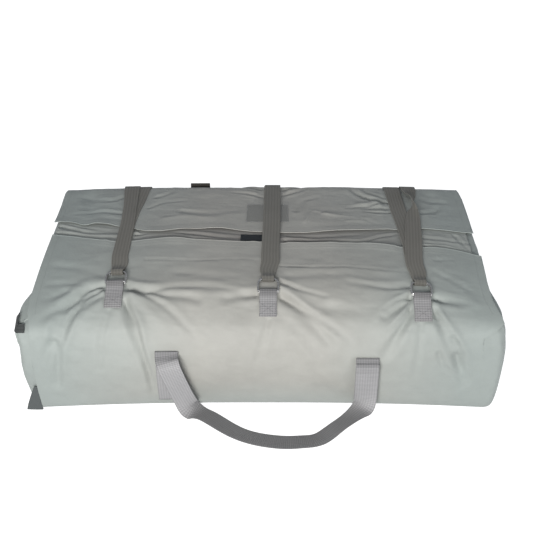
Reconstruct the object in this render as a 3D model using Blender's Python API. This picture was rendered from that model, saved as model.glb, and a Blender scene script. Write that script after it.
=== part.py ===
"""A carry cover for a folded boat, closed and strapped, in the shape that its load gives it.

Metres, +Z up. The origin is on the floor under the middle of the base, X runs along the cover and -Y is
its front. Everything sewn is placed on one curved outer form: a section from the front rim up the front,
over the top and down the back to the back rim, measured along its own length as s, from where it leaves the floor.
"""

import math

import bmesh
import bpy
import numpy as np
from mathutils import Vector

MM = 0.001

# Driving sizes.
CLOTH = 2.5 * MM  # coated cloth with its coating and hems
UNDERLAP_CLOTH = 2.0 * MM
SEAM = 0.8 * MM  # between two cloths that meet edge to edge
REST = 0.5 * MM  # under a piece that lies on another
BELT = 1.6 * MM  # thickness of the strap and tab webbing
GRIP = 1.8 * MM  # thickness of the handle webbing
STRAP_WIDTH = 40 * MM
TAB_WIDTH = 38 * MM
HANDLE_WIDTH = 50 * MM
RING_WIRE = 4.0 * MM
RING_HALF_WIDTH = 22 * MM  # to the middle of the wire
RING_REACH = 36 * MM  # from the bar to the bow
WIRE_SIDES = 6
LAYER = BELT + REST  # one webbing layer on the next
TUCKED = 7.0 * MM  # how far the end cloth lies under the flaps
UNDERLAP_DROP = CLOTH + 0.8 * MM

# The outer section, at the ends of the cover and at its middle.
# name, y at the end, z at the end, y at the middle, z at the middle
SECTION = [
    ("front rim", -0.268, 0.000, -0.250, 0.000),
    ("front ground", -0.279, 0.000, -0.262, 0.000),
    ("front foot", -0.289, 0.010, -0.273, 0.010),
    ("front low", -0.292, 0.050, -0.283, 0.050),
    ("front belly", -0.293, 0.110, -0.290, 0.110),
    ("front upper", -0.292, 0.165, -0.281, 0.165),
    ("front shoulder", -0.286, 0.205, -0.262, 0.207),
    ("front slope", -0.262, 0.226, -0.225, 0.240),
    ("front brow", -0.205, 0.241, -0.180, 0.263),
    ("front top", -0.110, 0.256, -0.100, 0.272),
    ("crown", 0.000, 0.264, 0.000, 0.276),
    ("back top", 0.100, 0.265, 0.100, 0.277),
    ("back slope", 0.200, 0.262, 0.200, 0.273),
    ("back brow", 0.278, 0.257, 0.278, 0.267),
    ("back shoulder", 0.293, 0.236, 0.292, 0.244),
    ("back upper", 0.295, 0.170, 0.294, 0.170),
    ("back belly", 0.294, 0.110, 0.296, 0.110),
    ("back low", 0.291, 0.050, 0.290, 0.050),
    ("back foot", 0.286, 0.010, 0.284, 0.010),
    ("back ground", 0.277, 0.000, 0.275, 0.000),
    ("back rim", 0.266, 0.000, 0.264, 0.000),
]
SWELL_HALF = 0.50  # the section swells between these x
SWELL_POWER = 2.5
SWELL_SOFTNESS = 0.12
STEPS = 12  # spline steps between two rows of the section
RIM_LAP = 10 * MM  # s counts from this far outside the front rim

# Where the two flaps end on the top. x, y of the front flap's edge, y of the upper flap's edge
CLOSURE = [
    (-0.52, 0.036, 0.104),
    (-0.40, 0.026, 0.084),
    (-0.27, 0.017, 0.062),
    (-0.15, 0.008, 0.045),
    (0.03, -0.009, 0.040),
    (0.10, -0.013, 0.033),
    (0.25, -0.020, 0.052),
    (0.33, -0.026, 0.060),
    (0.43, -0.036, 0.052),
    (0.52, -0.060, 0.047),
]
UNDERLAP_TUCK = 35 * MM  # how far the underlap runs on under each flap

# The front panel's side edges, along its length. s, x at the left, x at the right
FRONT_SIDES = [
    (0.000, -0.4900, 0.4900),
    (0.056, -0.4940, 0.4850),
    (0.116, -0.4965, 0.4790),
    (0.190, -0.4965, 0.4780),
    (0.203, -0.4965, 0.4780),
    (0.222, -0.4970, 0.5080),
    (0.238, -0.4990, 0.5230),
    (0.265, -0.5050, 0.5160),
    (0.305, -0.5070, 0.5060),
    (0.360, -0.5050, 0.5040),
    (0.460, -0.5020, 0.5060),
    (0.560, -0.5000, 0.5080),
]
# The back panel's side edges, measured from the back rim. s, x at the left, x at the right
BACK_SIDES = [
    (0.000, -0.4900, 0.4900),
    (0.232, -0.4900, 0.4900),
    (0.256, -0.5080, 0.5010),
    (0.300, -0.5120, 0.5050),
    (0.340, -0.5110, 0.5075),
    (0.400, -0.5090, 0.5070),
    (0.520, -0.5080, 0.5050),
]

# The end panels, as rows up the wall and over its top edge to where it is tucked under the flaps.
# name, s on the front, s on the back, drop there, wall height or drop under the flaps at the end,
# x at the right, swell of the front corner there, the same two at the left, corner radius
END_ROWS = [
    ("rim", -0.010, 0.000, 0.0000, 0.000, 0.500, 0.000, 0.495, 0.000, 0.012),
    ("ground", 0.0015, 0.011, 0.0000, 0.000, 0.510, 0.000, 0.504, 0.000, 0.015),
    ("foot", 0.016, 0.025, 0.0000, 0.010, 0.519, 0.000, 0.512, 0.000, 0.018),
    ("low", 0.056, 0.065, 0.0000, 0.050, 0.517, 0.0085, 0.515, 0.006, 0.018),
    ("belly", 0.116, 0.125, 0.0000, 0.110, 0.518, 0.0110, 0.516, 0.008, 0.018),
    ("upper", 0.156, 0.175, 0.0000, 0.150, 0.517, 0.0135, 0.515, 0.009, 0.018),
    ("top of wall", 0.182, 0.212, 0.0000, 0.175, 0.514, 0.0160, 0.512, 0.011, 0.018),
    ("turn", 0.199, 0.228, 0.0038, -0.0240, 0.510, 0.0170, 0.508, 0.017, 0.018),
    ("shoulder", 0.218, 0.244, 0.0050, -0.0120, 0.506, 0.0150, 0.505, 0.021, 0.016),
    ("over", 0.240, 0.262, 0.0062, -0.0085, 0.502, 0.0080, 0.501, 0.016, 0.013),
    ("tuck", 0.260, 0.282, TUCKED, -TUCKED, 0.494, 0.000, 0.494, 0.004, 0.011),
    ("tuck edge", 0.284, 0.306, TUCKED, -TUCKED, 0.472, 0.000, 0.472, 0.000, 0.010),
]
FRONT_CORNER = (-0.150, -0.220)  # y between which the front corner swells
SEAM_TOP = 0.19  # s above which the end cloth runs on under the flaps
WALL_TOP = 0.186  # height of the end wall at the front corner, which the wall heights are given for
WALL_UNDER_TOP = 0.036
END_BULGE = 7 * MM
END_SEAM = 0.490  # x of the seams on the back face
END_COLUMNS = (0.05, 0.12, 0.22, 0.4, 0.6, 0.8, 0.92)
END_TURN_START = 2  # points of each row before its corner begins
BASE_STRAIGHT = 0.476
# How far the left end's lower front corner is drawn back behind the dark tuck. height, recess
LEFT_RECESS = [(0.000, 0.011), (0.050, 0.009), (0.085, 0.004), (0.110, 0.000)]

# The dark tuck of cloth in the lower left corner. height, x at the left, y of its face
TUCK_ROWS = [
    (0.000, -0.5280, -0.2885),
    (0.016, -0.5235, -0.2890),
    (0.034, -0.5170, -0.2895),
    (0.052, -0.5100, -0.2900),
    (0.068, -0.5030, -0.2905),
]
TUCK_CLOTH = 2.0 * MM
TUCK_SHARES = (0.0, 0.35, 0.7, 1.0)
TUCK_BOW = 0.8 * MM

# Folds of the front panel: name, depth (a ridge is negative), half width, then x and s along the fold.
FRONT_FOLDS = [
    ("left tab, sweep down", 11 * MM, 13 * MM, (-0.345, 0.326), (-0.380, 0.325), (-0.416, 0.281),
     (-0.441, 0.222), (-0.469, 0.150)),
    ("left tab, second sweep", 9 * MM, 12 * MM, (-0.354, 0.300), (-0.402, 0.262), (-0.428, 0.208),
     (-0.441, 0.162), (-0.452, 0.085)),
    ("left tab, toward the corner", 8 * MM, 12 * MM, (-0.370, 0.312), (-0.435, 0.272), (-0.480, 0.244)),
    ("left tab, to the right", 9 * MM, 12 * MM, (-0.300, 0.322), (-0.232, 0.304), (-0.140, 0.288)),
    ("left tab, down", 9 * MM, 12 * MM, (-0.296, 0.282), (-0.272, 0.208), (-0.246, 0.119),
     (-0.230, 0.050)),
    ("left tab, ridge", -5 * MM, 14 * MM, (-0.282, 0.296), (-0.241, 0.262), (-0.205, 0.225)),
    ("middle tab, left", 8 * MM, 13 * MM, (-0.008, 0.300), (-0.075, 0.290)),
    ("middle tab, right", 9 * MM, 14 * MM, (0.042, 0.292), (0.084, 0.262), (0.149, 0.184)),
    ("right tab, left", 9 * MM, 13 * MM, (0.328, 0.292), (0.268, 0.246)),
    ("right tab, down left", 9 * MM, 12 * MM, (0.328, 0.262), (0.299, 0.216), (0.269, 0.160)),
    ("right tab, right", 7 * MM, 12 * MM, (0.376, 0.296), (0.440, 0.286)),
    ("right tab, down right", 9 * MM, 12 * MM, (0.372, 0.258), (0.407, 0.188), (0.455, 0.092)),
    ("lower left hollow", 7 * MM, 12 * MM, (-0.452, 0.190), (-0.474, 0.150), (-0.482, 0.110)),
    ("lower right hollow", 7 * MM, 12 * MM, (0.425, 0.156), (0.446, 0.080)),
    ("crease above the tabs", 3 * MM, 9 * MM, (-0.255, 0.418), (-0.072, 0.419)),
    ("crease by the middle strap", 3 * MM, 9 * MM, (0.060, 0.388), (0.154, 0.386), (0.300, 0.378)),
    ("lower middle ridge", -4 * MM, 20 * MM, (0.070, 0.200), (0.180, 0.060)),
]
# Folds of the upper flap, in x and s from the back rim.
BACK_FOLDS = [
    ("pleat left of the middle strap", 5 * MM, 10 * MM, (-0.006, 0.310), (-0.070, 0.280)),
    ("pleat right of the middle strap", 5 * MM, 10 * MM, (0.052, 0.312), (0.115, 0.276)),
    ("long pleat to the right strap", 5 * MM, 10 * MM, (0.305, 0.372), (0.262, 0.350), (0.225, 0.300)),
    ("short pleat at the right strap", 5 * MM, 10 * MM, (0.305, 0.412), (0.255, 0.412)),
    ("ridge before the right strap", -4 * MM, 12 * MM, (0.300, 0.392), (0.240, 0.388)),
    ("hollow by the left edge", 4 * MM, 22 * MM, (-0.440, 0.340), (-0.420, 0.420)),
    ("hollow by the right strap", 4 * MM, 22 * MM, (0.430, 0.330), (0.420, 0.420)),
]
FOLD_LEFT_AT_END = 0.35  # share of a fold's depth that is left at its far end
FOOT_FREE = 0.020  # folds die out above this s, so that the foot stays on the floor
FOOT_BLEND = 0.040
CLOSURE_FREE = 0.045  # and this far from a flap's edge, over the underlap
SIDE_KEPT = 0.022  # folds die out this far from a side edge, over the tucked end cloth
SIDE_FREE = 0.045
SIDE_CLEAR = 0.012  # folds start this far beyond a piece that is sewn flat
STRAP_FLAT = 0.045  # no ridge rises this near the middle of a strap

# Rows of the big cloths. s up to which, and the step there
FRONT_ROWS = [(0.014, 0.008), (0.026, 0.012), (0.198, 0.0245), (0.330, 0.0188), (None, 0.024)]
BACK_ROWS = [(0.024, 0.008), (0.036, 0.012), (0.232, 0.040), (0.300, 0.011), (None, 0.036)]
FRONT_EDGE_FROM = 0.33  # s from where the rows turn to follow the flap's edge
BACK_EDGE_FROM = 0.30
BACK_COLUMNS = 26
COLUMN_STEP = 0.024  # between two columns of the front panel
TAB_COLUMN_STEP = 0.015  # and this near a tab
NEAR_TAB = 0.085
UNDERLAP_ENDS = (-0.497, 0.488)
UNDERLAP_COLUMNS = 26
UNDERLAP_ROWS = 4

# Ring tabs: name, x, s of the lower end, s of the ring bar
TABS = [
    ("left", -0.322, 0.268, 0.332),
    ("middle", 0.015, 0.246, 0.301),
    ("right", 0.350, 0.237, 0.298),
]
LOWER_BAR = 4.7 * MM  # height of the lower ring over the cloth
RING_STACK = 4.3 * MM
PAST_RING = 10 * MM  # the cloth stays flat this far past the rings
RING_BAR_HALF = 0.86  # straight part of the bar, as a share of the half width
RING_SHOULDERS = ((0.975, 0.05), (1.0, 0.16))  # shares of the half width and of the reach
RING_BOW_FROM = 0.38  # share of the reach from where the sides curve in
RING_SQUARENESS = 2 / 3
RING_BOW_STEPS = 12
# The tab's webbing round the two bars. Along the rings from the bar, and up from the lower bar
TAB_TURN = [
    (-0.0050, -0.0034),
    (0.0000, -0.0032),
    (0.0020, -0.0027),
    (0.0032, -0.0012),
    (0.0034, 0.0021),
    (0.0032, 0.0055),
    (0.0020, 0.0070),
    (0.0000, 0.0075),
    (-0.0035, 0.0068),
    (-0.0085, 0.0035),
]
TAB_NEAR = 12 * MM  # where the tab leaves the cloth, from the bar
TAB_UPPER_NEAR = 16 * MM  # and where its upper layer comes down again
TAB_UPPER_SHORT = 3 * MM  # the upper layer ends this far over the lower one
TAB_UPPER_EXTRA = (1.4 * MM, 0.3 * MM, 0.0, 0.0, 0.0, 0.0)  # its height beyond one layer, from the bar down
# The strap's webbing round the two bows. Along the rings from the bow, up from the lower bow, width
STRAP_TURN = [
    (0.0045, -0.0033, 0.0270),
    (0.0000, -0.0033, 0.0260),
    (-0.0032, -0.0032, 0.0260),
    (-0.0049, -0.0016, 0.0260),
    (-0.0052, 0.0021, 0.0260),
    (-0.0049, 0.0058, 0.0260),
    (-0.0033, 0.0075, 0.0260),
    (0.0000, 0.0079, 0.0265),
    (0.0040, 0.0073, 0.0275),
    (0.0090, 0.0040, 0.0290),
]
# The strap next to its turn. s from the bow, height of the sewn and of the free layer, width
STRAP_NEAR = [
    (0.016, 0.0014, 0.0064, 0.030),
    (0.026, 0.0014, 0.0044, 0.034),
    (0.040, 0.0016, 0.0038, 0.038),
]
# Each strap from its rings to its sewn end, then its free end. s is from the front rim.
# s, x, height over the cloth, width, turn about its own length in degrees
STRAPS = {
    "left": {
        "sewn": [
            (0.450, -0.325, 0.0017, 0.037, 0),
            (0.580, -0.324, 0.0014, 0.033, 0),
            (0.640, -0.321, 0.0014, 0.035, 0),
            (0.700, -0.317, 0.0014, 0.040, 0),
            (0.790, -0.311, 0.0024, 0.040, 0),
            (0.980, -0.309, 0.0013, 0.040, 0),
        ],
        "free": [
            (0.450, -0.325, 0.0038, 0.037, 0),
            (0.580, -0.326, 0.0036, 0.033, 0),
            (0.680, -0.332, 0.0037, 0.034, 0),
            (0.790, -0.341, 0.0046, 0.040, 0),
            (0.860, -0.343, 0.0042, 0.040, 0),
        ],
    },
    "middle": {
        "sewn": [
            (0.420, 0.018, 0.0018, 0.040, 0),
            (0.530, 0.020, 0.0018, 0.040, 0),
            (0.562, 0.021, 0.0028, 0.040, 0),
            (0.700, 0.022, 0.0028, 0.040, 0),
            (0.740, 0.022, 0.0016, 0.040, 0),
            (0.790, 0.022, 0.0024, 0.040, 0),
            (0.980, 0.022, 0.0013, 0.040, 0),
        ],
        "free": [
            (0.420, 0.020, 0.0040, 0.040, 0),
            (0.530, 0.022, 0.0040, 0.040, 0),
            (0.562, 0.023, 0.0050, 0.040, 0),
            (0.700, 0.024, 0.0050, 0.040, 0),
            (0.740, 0.024, 0.0038, 0.040, 0),
            (0.790, 0.024, 0.0046, 0.040, 0),
            (0.850, 0.024, 0.0042, 0.040, 0),
        ],
    },
    "right": {
        "sewn": [
            (0.420, 0.346, 0.0018, 0.039, 0),
            (0.489, 0.347, 0.0016, 0.040, 0),
            (0.581, 0.341, 0.0015, 0.040, 0),
            (0.640, 0.336, 0.0014, 0.040, 0),
            (0.790, 0.331, 0.0024, 0.040, 0),
            (0.980, 0.329, 0.0013, 0.040, 0),
        ],
        "free": [
            (0.420, 0.347, 0.0040, 0.039, 0),
            (0.515, 0.357, 0.0038, 0.040, 0),
            (0.600, 0.366, 0.0038, 0.036, 0),
            (0.640, 0.370, 0.0072, 0.026, 22),
            (0.655, 0.372, 0.0102, 0.020, 50),
            (0.668, 0.373, 0.0102, 0.017, 80),
            (0.695, 0.375, 0.0100, 0.018, 115),
            (0.712, 0.375, 0.0094, 0.022, 140),
            (0.730, 0.375, 0.0068, 0.029, 163),
            (0.760, 0.374, 0.0046, 0.038, 180),
            (0.850, 0.372, 0.0044, 0.040, 180),
        ],
    },
}
STRAP_STEP = 0.026
STRAP_BEND_STEP = 0.008
STRAP_SHORTEST = 0.004
STRAP_BENDS = ((0.61, 0.735), (0.740, 0.840))  # s of the twist, and of the turn over the back edge

# Carry handles. The legs are sewn up the cloth, fold over, and the loop falls to the floor.
# x, s or y, lift or z, then the direction across the webbing toward the inside of the loop
FRONT_LEFT_LEG = (-0.205, 0.032, 0.164)  # x, s of its foot, s of its fold
FRONT_RIGHT_LEG = (0.231, 0.032, 0.148)
BACK_LEFT_LEG = (-0.166, 0.130, 0.250)
BACK_RIGHT_LEG = (0.215, 0.080, 0.190)
LEG_LIFT = GRIP / 2 + 0.8 * MM
LEG_STEPS = 8
# The fold over at the top of a leg. s from the fold, height over the cloth
LEG_FOLD = [(0.000, 0.0015), (0.0042, 0.0021), (0.0062, 0.0044), (0.0046, 0.0068), (-0.002, 0.0080)]
# The loops, from the left leg's fold to the right one's. x, y, z, across x, across y, across z
FRONT_LOOP = [
    (-0.2030, -0.3045, 0.1500, 0.99, 0.00, 0.10),
    (-0.2000, -0.3110, 0.1420, 0.97, 0.00, 0.20),
    (-0.1955, -0.3145, 0.1280, 0.96, 0.00, 0.28),
    (-0.1825, -0.3120, 0.0850, 0.96, 0.00, 0.28),
    (-0.1690, -0.3050, 0.0400, 0.95, 0.05, 0.28),
    (-0.1590, -0.3010, 0.0160, 0.85, 0.40, 0.18),
    (-0.1400, -0.3070, 0.0075, 0.72, 0.66, -0.14),
    (-0.1141, -0.3230, 0.0065, 0.66, 0.72, -0.20),
    (-0.0604, -0.3675, 0.0065, 0.54, 0.81, -0.22),
    (-0.0149, -0.3899, 0.0057, 0.31, 0.93, -0.19),
    (0.0395, -0.4008, 0.0048, 0.05, 0.98, -0.16),
    (0.0850, -0.4005, 0.0052, -0.15, 0.97, -0.18),
    (0.1270, -0.3921, 0.0065, -0.39, 0.89, -0.22),
    (0.1685, -0.3538, 0.0090, -0.68, 0.66, -0.32),
    (0.2000, -0.3235, 0.0095, -0.74, 0.62, -0.26),
    (0.2245, -0.3010, 0.0160, -0.90, 0.40, 0.00),
    (0.2310, -0.2975, 0.0400, -1.00, 0.05, 0.00),
    (0.2312, -0.3020, 0.0850, -1.00, 0.00, 0.00),
    (0.2311, -0.3050, 0.1220, -1.00, 0.00, 0.00),
    (0.2311, -0.3025, 0.1370, -1.00, 0.00, 0.00),
]
BACK_LOOP = [
    (-0.1655, 0.3080, 0.247, 1.00, 0.00, 0.00),
    (-0.1640, 0.3055, 0.225, 1.00, 0.00, 0.00),
    (-0.1620, 0.3040, 0.195, 1.00, 0.00, 0.00),
    (-0.1560, 0.3035, 0.130, 1.00, 0.00, 0.05),
    (-0.1430, 0.3060, 0.060, 0.97, 0.00, 0.20),
    (-0.1250, 0.3160, 0.0160, 0.88, -0.36, 0.20),
    (-0.0900, 0.3360, 0.0018, 0.60, -0.80, 0.00),
    (-0.0400, 0.3620, 0.0030, 0.34, -0.94, -0.06),
    (0.0200, 0.3780, 0.0052, 0.06, -0.98, -0.16),
    (0.0800, 0.3690, 0.0052, -0.28, -0.95, -0.16),
    (0.1300, 0.3410, 0.0040, -0.62, -0.78, -0.06),
    (0.1720, 0.3210, 0.0140, -0.88, -0.42, 0.12),
    (0.2000, 0.3110, 0.050, -0.98, -0.05, 0.10),
    (0.2130, 0.3050, 0.105, -1.00, 0.00, 0.00),
    (0.2150, 0.3050, 0.155, -1.00, 0.00, 0.00),
]
BACK_STAND = [(0.2985, 0.243), (0.3005, 0.256), (0.3040, 0.2640), (0.3085, 0.2610)]  # y, z over the edge
LOOP_STEPS = 3

# Patches. x at the left and right, s at the lower and upper edge
WINDOW = (-0.040, 0.062, 0.578, 0.680)
WINDOW_FILM = 1.0 * MM
HOOK_PATCH = (-0.051, 0.024, -0.002, 0.028)  # s from the front flap's edge
HOOK_DEPTH = 1.5 * MM
HOOK_FROM_EDGE = 4 * MM
END_LOOP_COLUMNS = (1, 2, 4, 6, 7)  # along the left end's rows of cloth, round its front corner
END_LOOP_ROW = 8.4
END_LOOP_WIDTH = 20 * MM
END_LOOP_LIFT = 3.5 * MM  # over the rounded corner under it

GREY_CLOTH = ((0.36, 0.38, 0.36), 0.55, 0.0)
DARK_CLOTH = ((0.07, 0.08, 0.08), 0.7, 0.0)
WEBBING = ((0.16, 0.155, 0.145), 0.85, 0.0)
PALE_WEBBING = ((0.30, 0.29, 0.30), 0.85, 0.0)
HOOK_TAPE = ((0.025, 0.03, 0.035), 0.9, 0.0)
FILM = ((0.40, 0.41, 0.41), 0.15, 0.0)
STEEL = ((0.35, 0.35, 0.36), 0.3, 1.0)


def ease(value):
    value = min(max(value, 0.0), 1.0)
    return value * value * (3 - 2 * value)


def spline_weights(rows, steps):
    """Catmull-Rom weights that turn rows of a table into a smooth line through them."""
    weights = []
    for row in range(rows - 1):
        for step in range(steps):
            t = step / steps
            weight = np.zeros(rows)
            shares = (
                -t + 2 * t**2 - t**3,
                2 - 5 * t**2 + 3 * t**3,
                t + 4 * t**2 - 3 * t**3,
                -(t**2) + t**3,
            )
            for offset, share in zip((-1, 0, 1, 2), shares):
                weight[min(max(row + offset, 0), rows - 1)] += share / 2
            weights.append(weight)
    last = np.zeros(rows)
    last[-1] = 1.0
    return np.array(weights + [last])


def smooth_line(rows, steps):
    rows = np.array(rows, float)
    return spline_weights(len(rows), steps) @ rows


SECTION_WEIGHTS = spline_weights(len(SECTION), STEPS)
SECTION_END = np.array([row[1:3] for row in SECTION])
SECTION_MIDDLE = np.array([row[3:5] for row in SECTION])
SHOULDER_INDEX = 6 * STEPS
BROW_INDEX = 8 * STEPS
BACK_BROW_INDEX = 13 * STEPS


class Section:
    """The outer form of the cover at one x."""

    def __init__(self, x):
        room = 1 - (abs(x) / SWELL_HALF) ** SWELL_POWER
        swell = (room + math.hypot(room, SWELL_SOFTNESS)) / 2
        line = SECTION_WEIGHTS @ (SECTION_END + swell * (SECTION_MIDDLE - SECTION_END))
        line[:, 1] = np.maximum(line[:, 1], 0.0)
        self.x = x
        self.y, self.z = line.T
        self.s = np.concatenate([[0.0], np.cumsum(np.hypot(np.diff(self.y), np.diff(self.z)))])
        slope = np.gradient(line, self.s, axis=0)
        self.slope = slope / np.linalg.norm(slope, axis=1)[:, None]
        self.s -= RIM_LAP
        self.length = self.s[-1]

    def point(self, s, lift=0.0):
        along = [np.interp(s, self.s, self.slope[:, axis]) for axis in (0, 1)]
        size = math.hypot(*along)
        y = np.interp(s, self.s, self.y) - lift * along[1] / size
        z = np.interp(s, self.s, self.z) + lift * along[0] / size
        return Vector((self.x, y, z))

    def s_at(self, y):
        """s of a place on the top."""
        top = slice(BROW_INDEX, BACK_BROW_INDEX + 1)
        return float(np.interp(y, self.y[top], self.s[top]))

    def top_height(self, y):
        """Height of the top over a place, out to the brows and beyond them."""
        upper = slice(SHOULDER_INDEX, BACK_BROW_INDEX + STEPS // 2)
        return float(np.interp(y, self.y[upper], self.z[upper]))


SECTIONS = {}


def section(x):
    key = round(x, 5)
    if key not in SECTIONS:
        SECTIONS[key] = Section(key)
    return SECTIONS[key]


def closure_y(x, column):
    table = np.array(CLOSURE)
    return float(np.interp(x, table[:, 0], table[:, column]))


def side_x(table, s, column):
    table = np.array(table)
    return float(np.interp(s, table[:, 0], table[:, column]))


def off_the_line(x, s, points):
    """Distance from a fold's line, and how far along it the nearest place is."""
    points = np.array(points)
    starts, runs = points[:-1], np.diff(points, axis=0)
    sizes = np.linalg.norm(runs, axis=1)
    before = np.concatenate([[0.0], np.cumsum(sizes)])
    share = np.clip(((x, s) - starts) @ runs.T / sizes**2, 0, 1)
    share = np.diag(share)
    gaps = np.linalg.norm(starts + share[:, None] * runs - (x, s), axis=1)
    nearest = int(np.argmin(gaps))
    return gaps[nearest], (before[nearest] + share[nearest] * sizes[nearest]) / before[-1]


def sunk(x, s, folds):
    depth = 0.0
    for _, deep, half_width, *points in folds:
        gap, along = off_the_line(x, s, points)
        fade = 1 - (1 - FOLD_LEFT_AT_END) * along
        depth += deep * fade * math.exp(-((gap / half_width) ** 2))
    return depth


def clear_of(x, s, box):
    """0 on a piece that is sewn flat, rising to 1 beside it."""
    left, right, low, high = box
    aside = max(left - x, x - right, 0.0)
    along = max(low - s, s - high, 0.0)
    return ease(math.hypot(aside, along) / SIDE_CLEAR)


def sewn_boxes():
    """x and s of what is sewn flat to the front panel."""
    boxes = [
        (x - TAB_WIDTH / 2, x + TAB_WIDTH / 2, low, bar + RING_REACH + PAST_RING) for _, x, low, bar in TABS
    ]
    for x, low, high in (FRONT_LEFT_LEG, FRONT_RIGHT_LEG):
        boxes.append((x - HANDLE_WIDTH / 2, x + HANDLE_WIDTH / 2, low, high))
    return boxes


def side_room(x, left, right):
    return ease((min(x - left, right - x) - SIDE_KEPT) / SIDE_FREE)


def front_depth(x, s, left, right, edge):
    depth = sunk(x, s, FRONT_FOLDS)
    for box in sewn_boxes():
        depth *= clear_of(x, s, box)
    depth *= ease((s - FOOT_FREE) / FOOT_BLEND) * ease((edge - s) / CLOSURE_FREE - 1)
    return depth * side_room(x, left, right)


def back_depth(x, s, left, right, edge):
    depth = sunk(x, s, BACK_FOLDS)
    low, high = (section(x).length - WINDOW[3], section(x).length - WINDOW[2])
    depth *= clear_of(x, s, (WINDOW[0], WINDOW[1], low, high))
    for strap in STRAPS.values():
        for s_strap, x_strap, *_ in strap["sewn"]:
            depth = max(depth, 0.0) if abs(x - x_strap) < STRAP_FLAT else depth
    depth *= ease((edge - s) / CLOSURE_FREE - 1)
    return depth * side_room(x, left, right)


def look(name, finish):
    colour, roughness, metallic = finish
    material = bpy.data.materials.new(name)
    material.use_nodes = True
    shader = material.node_tree.nodes["Principled BSDF"]
    shader.inputs["Base Color"].default_value = (*colour, 1.0)
    shader.inputs["Roughness"].default_value = roughness
    shader.inputs["Metallic"].default_value = metallic
    material.diffuse_color = (*colour, 1.0)
    return material


def face_outward(form):
    bmesh.ops.recalc_face_normals(form, faces=form.faces)
    if form.calc_volume(signed=True) < 0:
        bmesh.ops.reverse_faces(form, faces=form.faces)


def add_object(name, form, finish, smooth=True):
    mesh = bpy.data.meshes.new(name)
    form.to_mesh(mesh)
    form.free()
    made = bpy.data.objects.new(name, mesh)
    bpy.context.scene.collection.objects.link(made)
    mesh.materials.append(look(name, finish))
    if smooth:
        mesh.shade_smooth()
    return made


def sheet(name, rows, thickness, finish):
    """A cloth whose outer face passes through the rows of points."""
    form = bmesh.new()
    grid = [[form.verts.new(point) for point in row] for row in rows]
    for low, high in zip(grid, grid[1:]):
        for place in range(len(low) - 1):
            form.faces.new((low[place], low[place + 1], high[place + 1], high[place]))
    made = add_object(name, form, finish)
    solid = made.modifiers.new("thickness", "SOLIDIFY")
    solid.thickness = thickness
    solid.offset = -1
    return made


def loft(name, rings, finish, closed=False):
    """A bar through rings of points, with flat ends unless it closes on itself."""
    form = bmesh.new()
    loops = [[form.verts.new(point) for point in ring] for ring in rings]
    pairs = list(zip(loops, loops[1:]))
    if closed:
        pairs.append((loops[-1], loops[0]))
    for low, high in pairs:
        for place in range(len(low)):
            after = (place + 1) % len(low)
            form.faces.new((low[place], low[after], high[after], high[place]))
    if not closed:
        form.faces.new(loops[0])
        form.faces.new(loops[-1])
    face_outward(form)
    return add_object(name, form, finish)


def webbing(name, stations, thickness, finish):
    """A flat band through stations of (middle, direction across, width)."""
    middles = [Vector(station[0]) for station in stations]
    rings = []
    for place, (_, across, width) in enumerate(stations):
        before = middles[max(place - 1, 0)]
        after = middles[min(place + 1, len(middles) - 1)]
        along = (after - before).normalized()
        across = Vector(across)
        across = (across - along * across.dot(along)).normalized()
        up = along.cross(across)
        side, rise = across * width / 2, up * thickness / 2
        middle = middles[place].copy()
        middle.z += max(abs(side.z) + abs(rise.z) - middle.z, 0.0)  # it lies on the floor, not in it
        rings.append([middle - side - rise, middle + side - rise, middle + side + rise, middle - side + rise])
    return loft(name, rings, finish)


def columns_between(left, right):
    """Evenly spread columns, closer together beside the tabs."""
    places = [left]
    while places[-1] < right - COLUMN_STEP / 2:
        near = min(abs(places[-1] + TAB_COLUMN_STEP / 2 - x) for _, x, _, _ in TABS)
        places.append(places[-1] + (TAB_COLUMN_STEP if near < NEAR_TAB else COLUMN_STEP))
    spread = np.array(places) - left
    return spread / spread[-1]


def row_places(stretches, start, edge):
    places = [start]
    for end, step in stretches:
        end = end or edge
        count = max(round((end - places[-1]) / step), 1)
        places += list(np.linspace(places[-1], end, count + 1)[1:])
    return places


def front_panel():
    shares = columns_between(-0.5, 0.5)
    edge_middle = section(0.0).s_at(closure_y(0.0, 1))
    rows = []
    for place in row_places(FRONT_ROWS, -RIM_LAP, edge_middle):
        left = side_x(FRONT_SIDES, place, 1)
        right = side_x(FRONT_SIDES, place, 2)
        row = []
        for share in shares:
            x = left + share * (right - left)
            edge = section(x).s_at(closure_y(x, 1))
            upper = ease((place - FRONT_EDGE_FROM) / (edge_middle - FRONT_EDGE_FROM))
            s = place + upper * (edge - edge_middle)
            row.append(section(x).point(s, -front_depth(x, s, left, right, edge)))
        rows.append(row)
    return sheet("front_panel", rows, CLOTH, GREY_CLOTH)


def back_panel():
    shares = np.linspace(0, 1, BACK_COLUMNS + 1)
    edge_middle = section(0.0).length - section(0.0).s_at(closure_y(0.0, 2))
    rows = []
    for place in row_places(BACK_ROWS, 0.0, edge_middle):
        left = side_x(BACK_SIDES, place, 1)
        right = side_x(BACK_SIDES, place, 2)
        row = []
        for share in shares:
            x = right - share * (right - left)
            edge = section(x).length - section(x).s_at(closure_y(x, 2))
            upper = ease((place - BACK_EDGE_FROM) / (edge_middle - BACK_EDGE_FROM))
            s = place + upper * (edge - edge_middle)
            depth = back_depth(x, s, left, right, edge)
            row.append(section(x).point(section(x).length - s, -depth))
        rows.append(row)
    return sheet("back_panel", rows, CLOTH, GREY_CLOTH)


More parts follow.
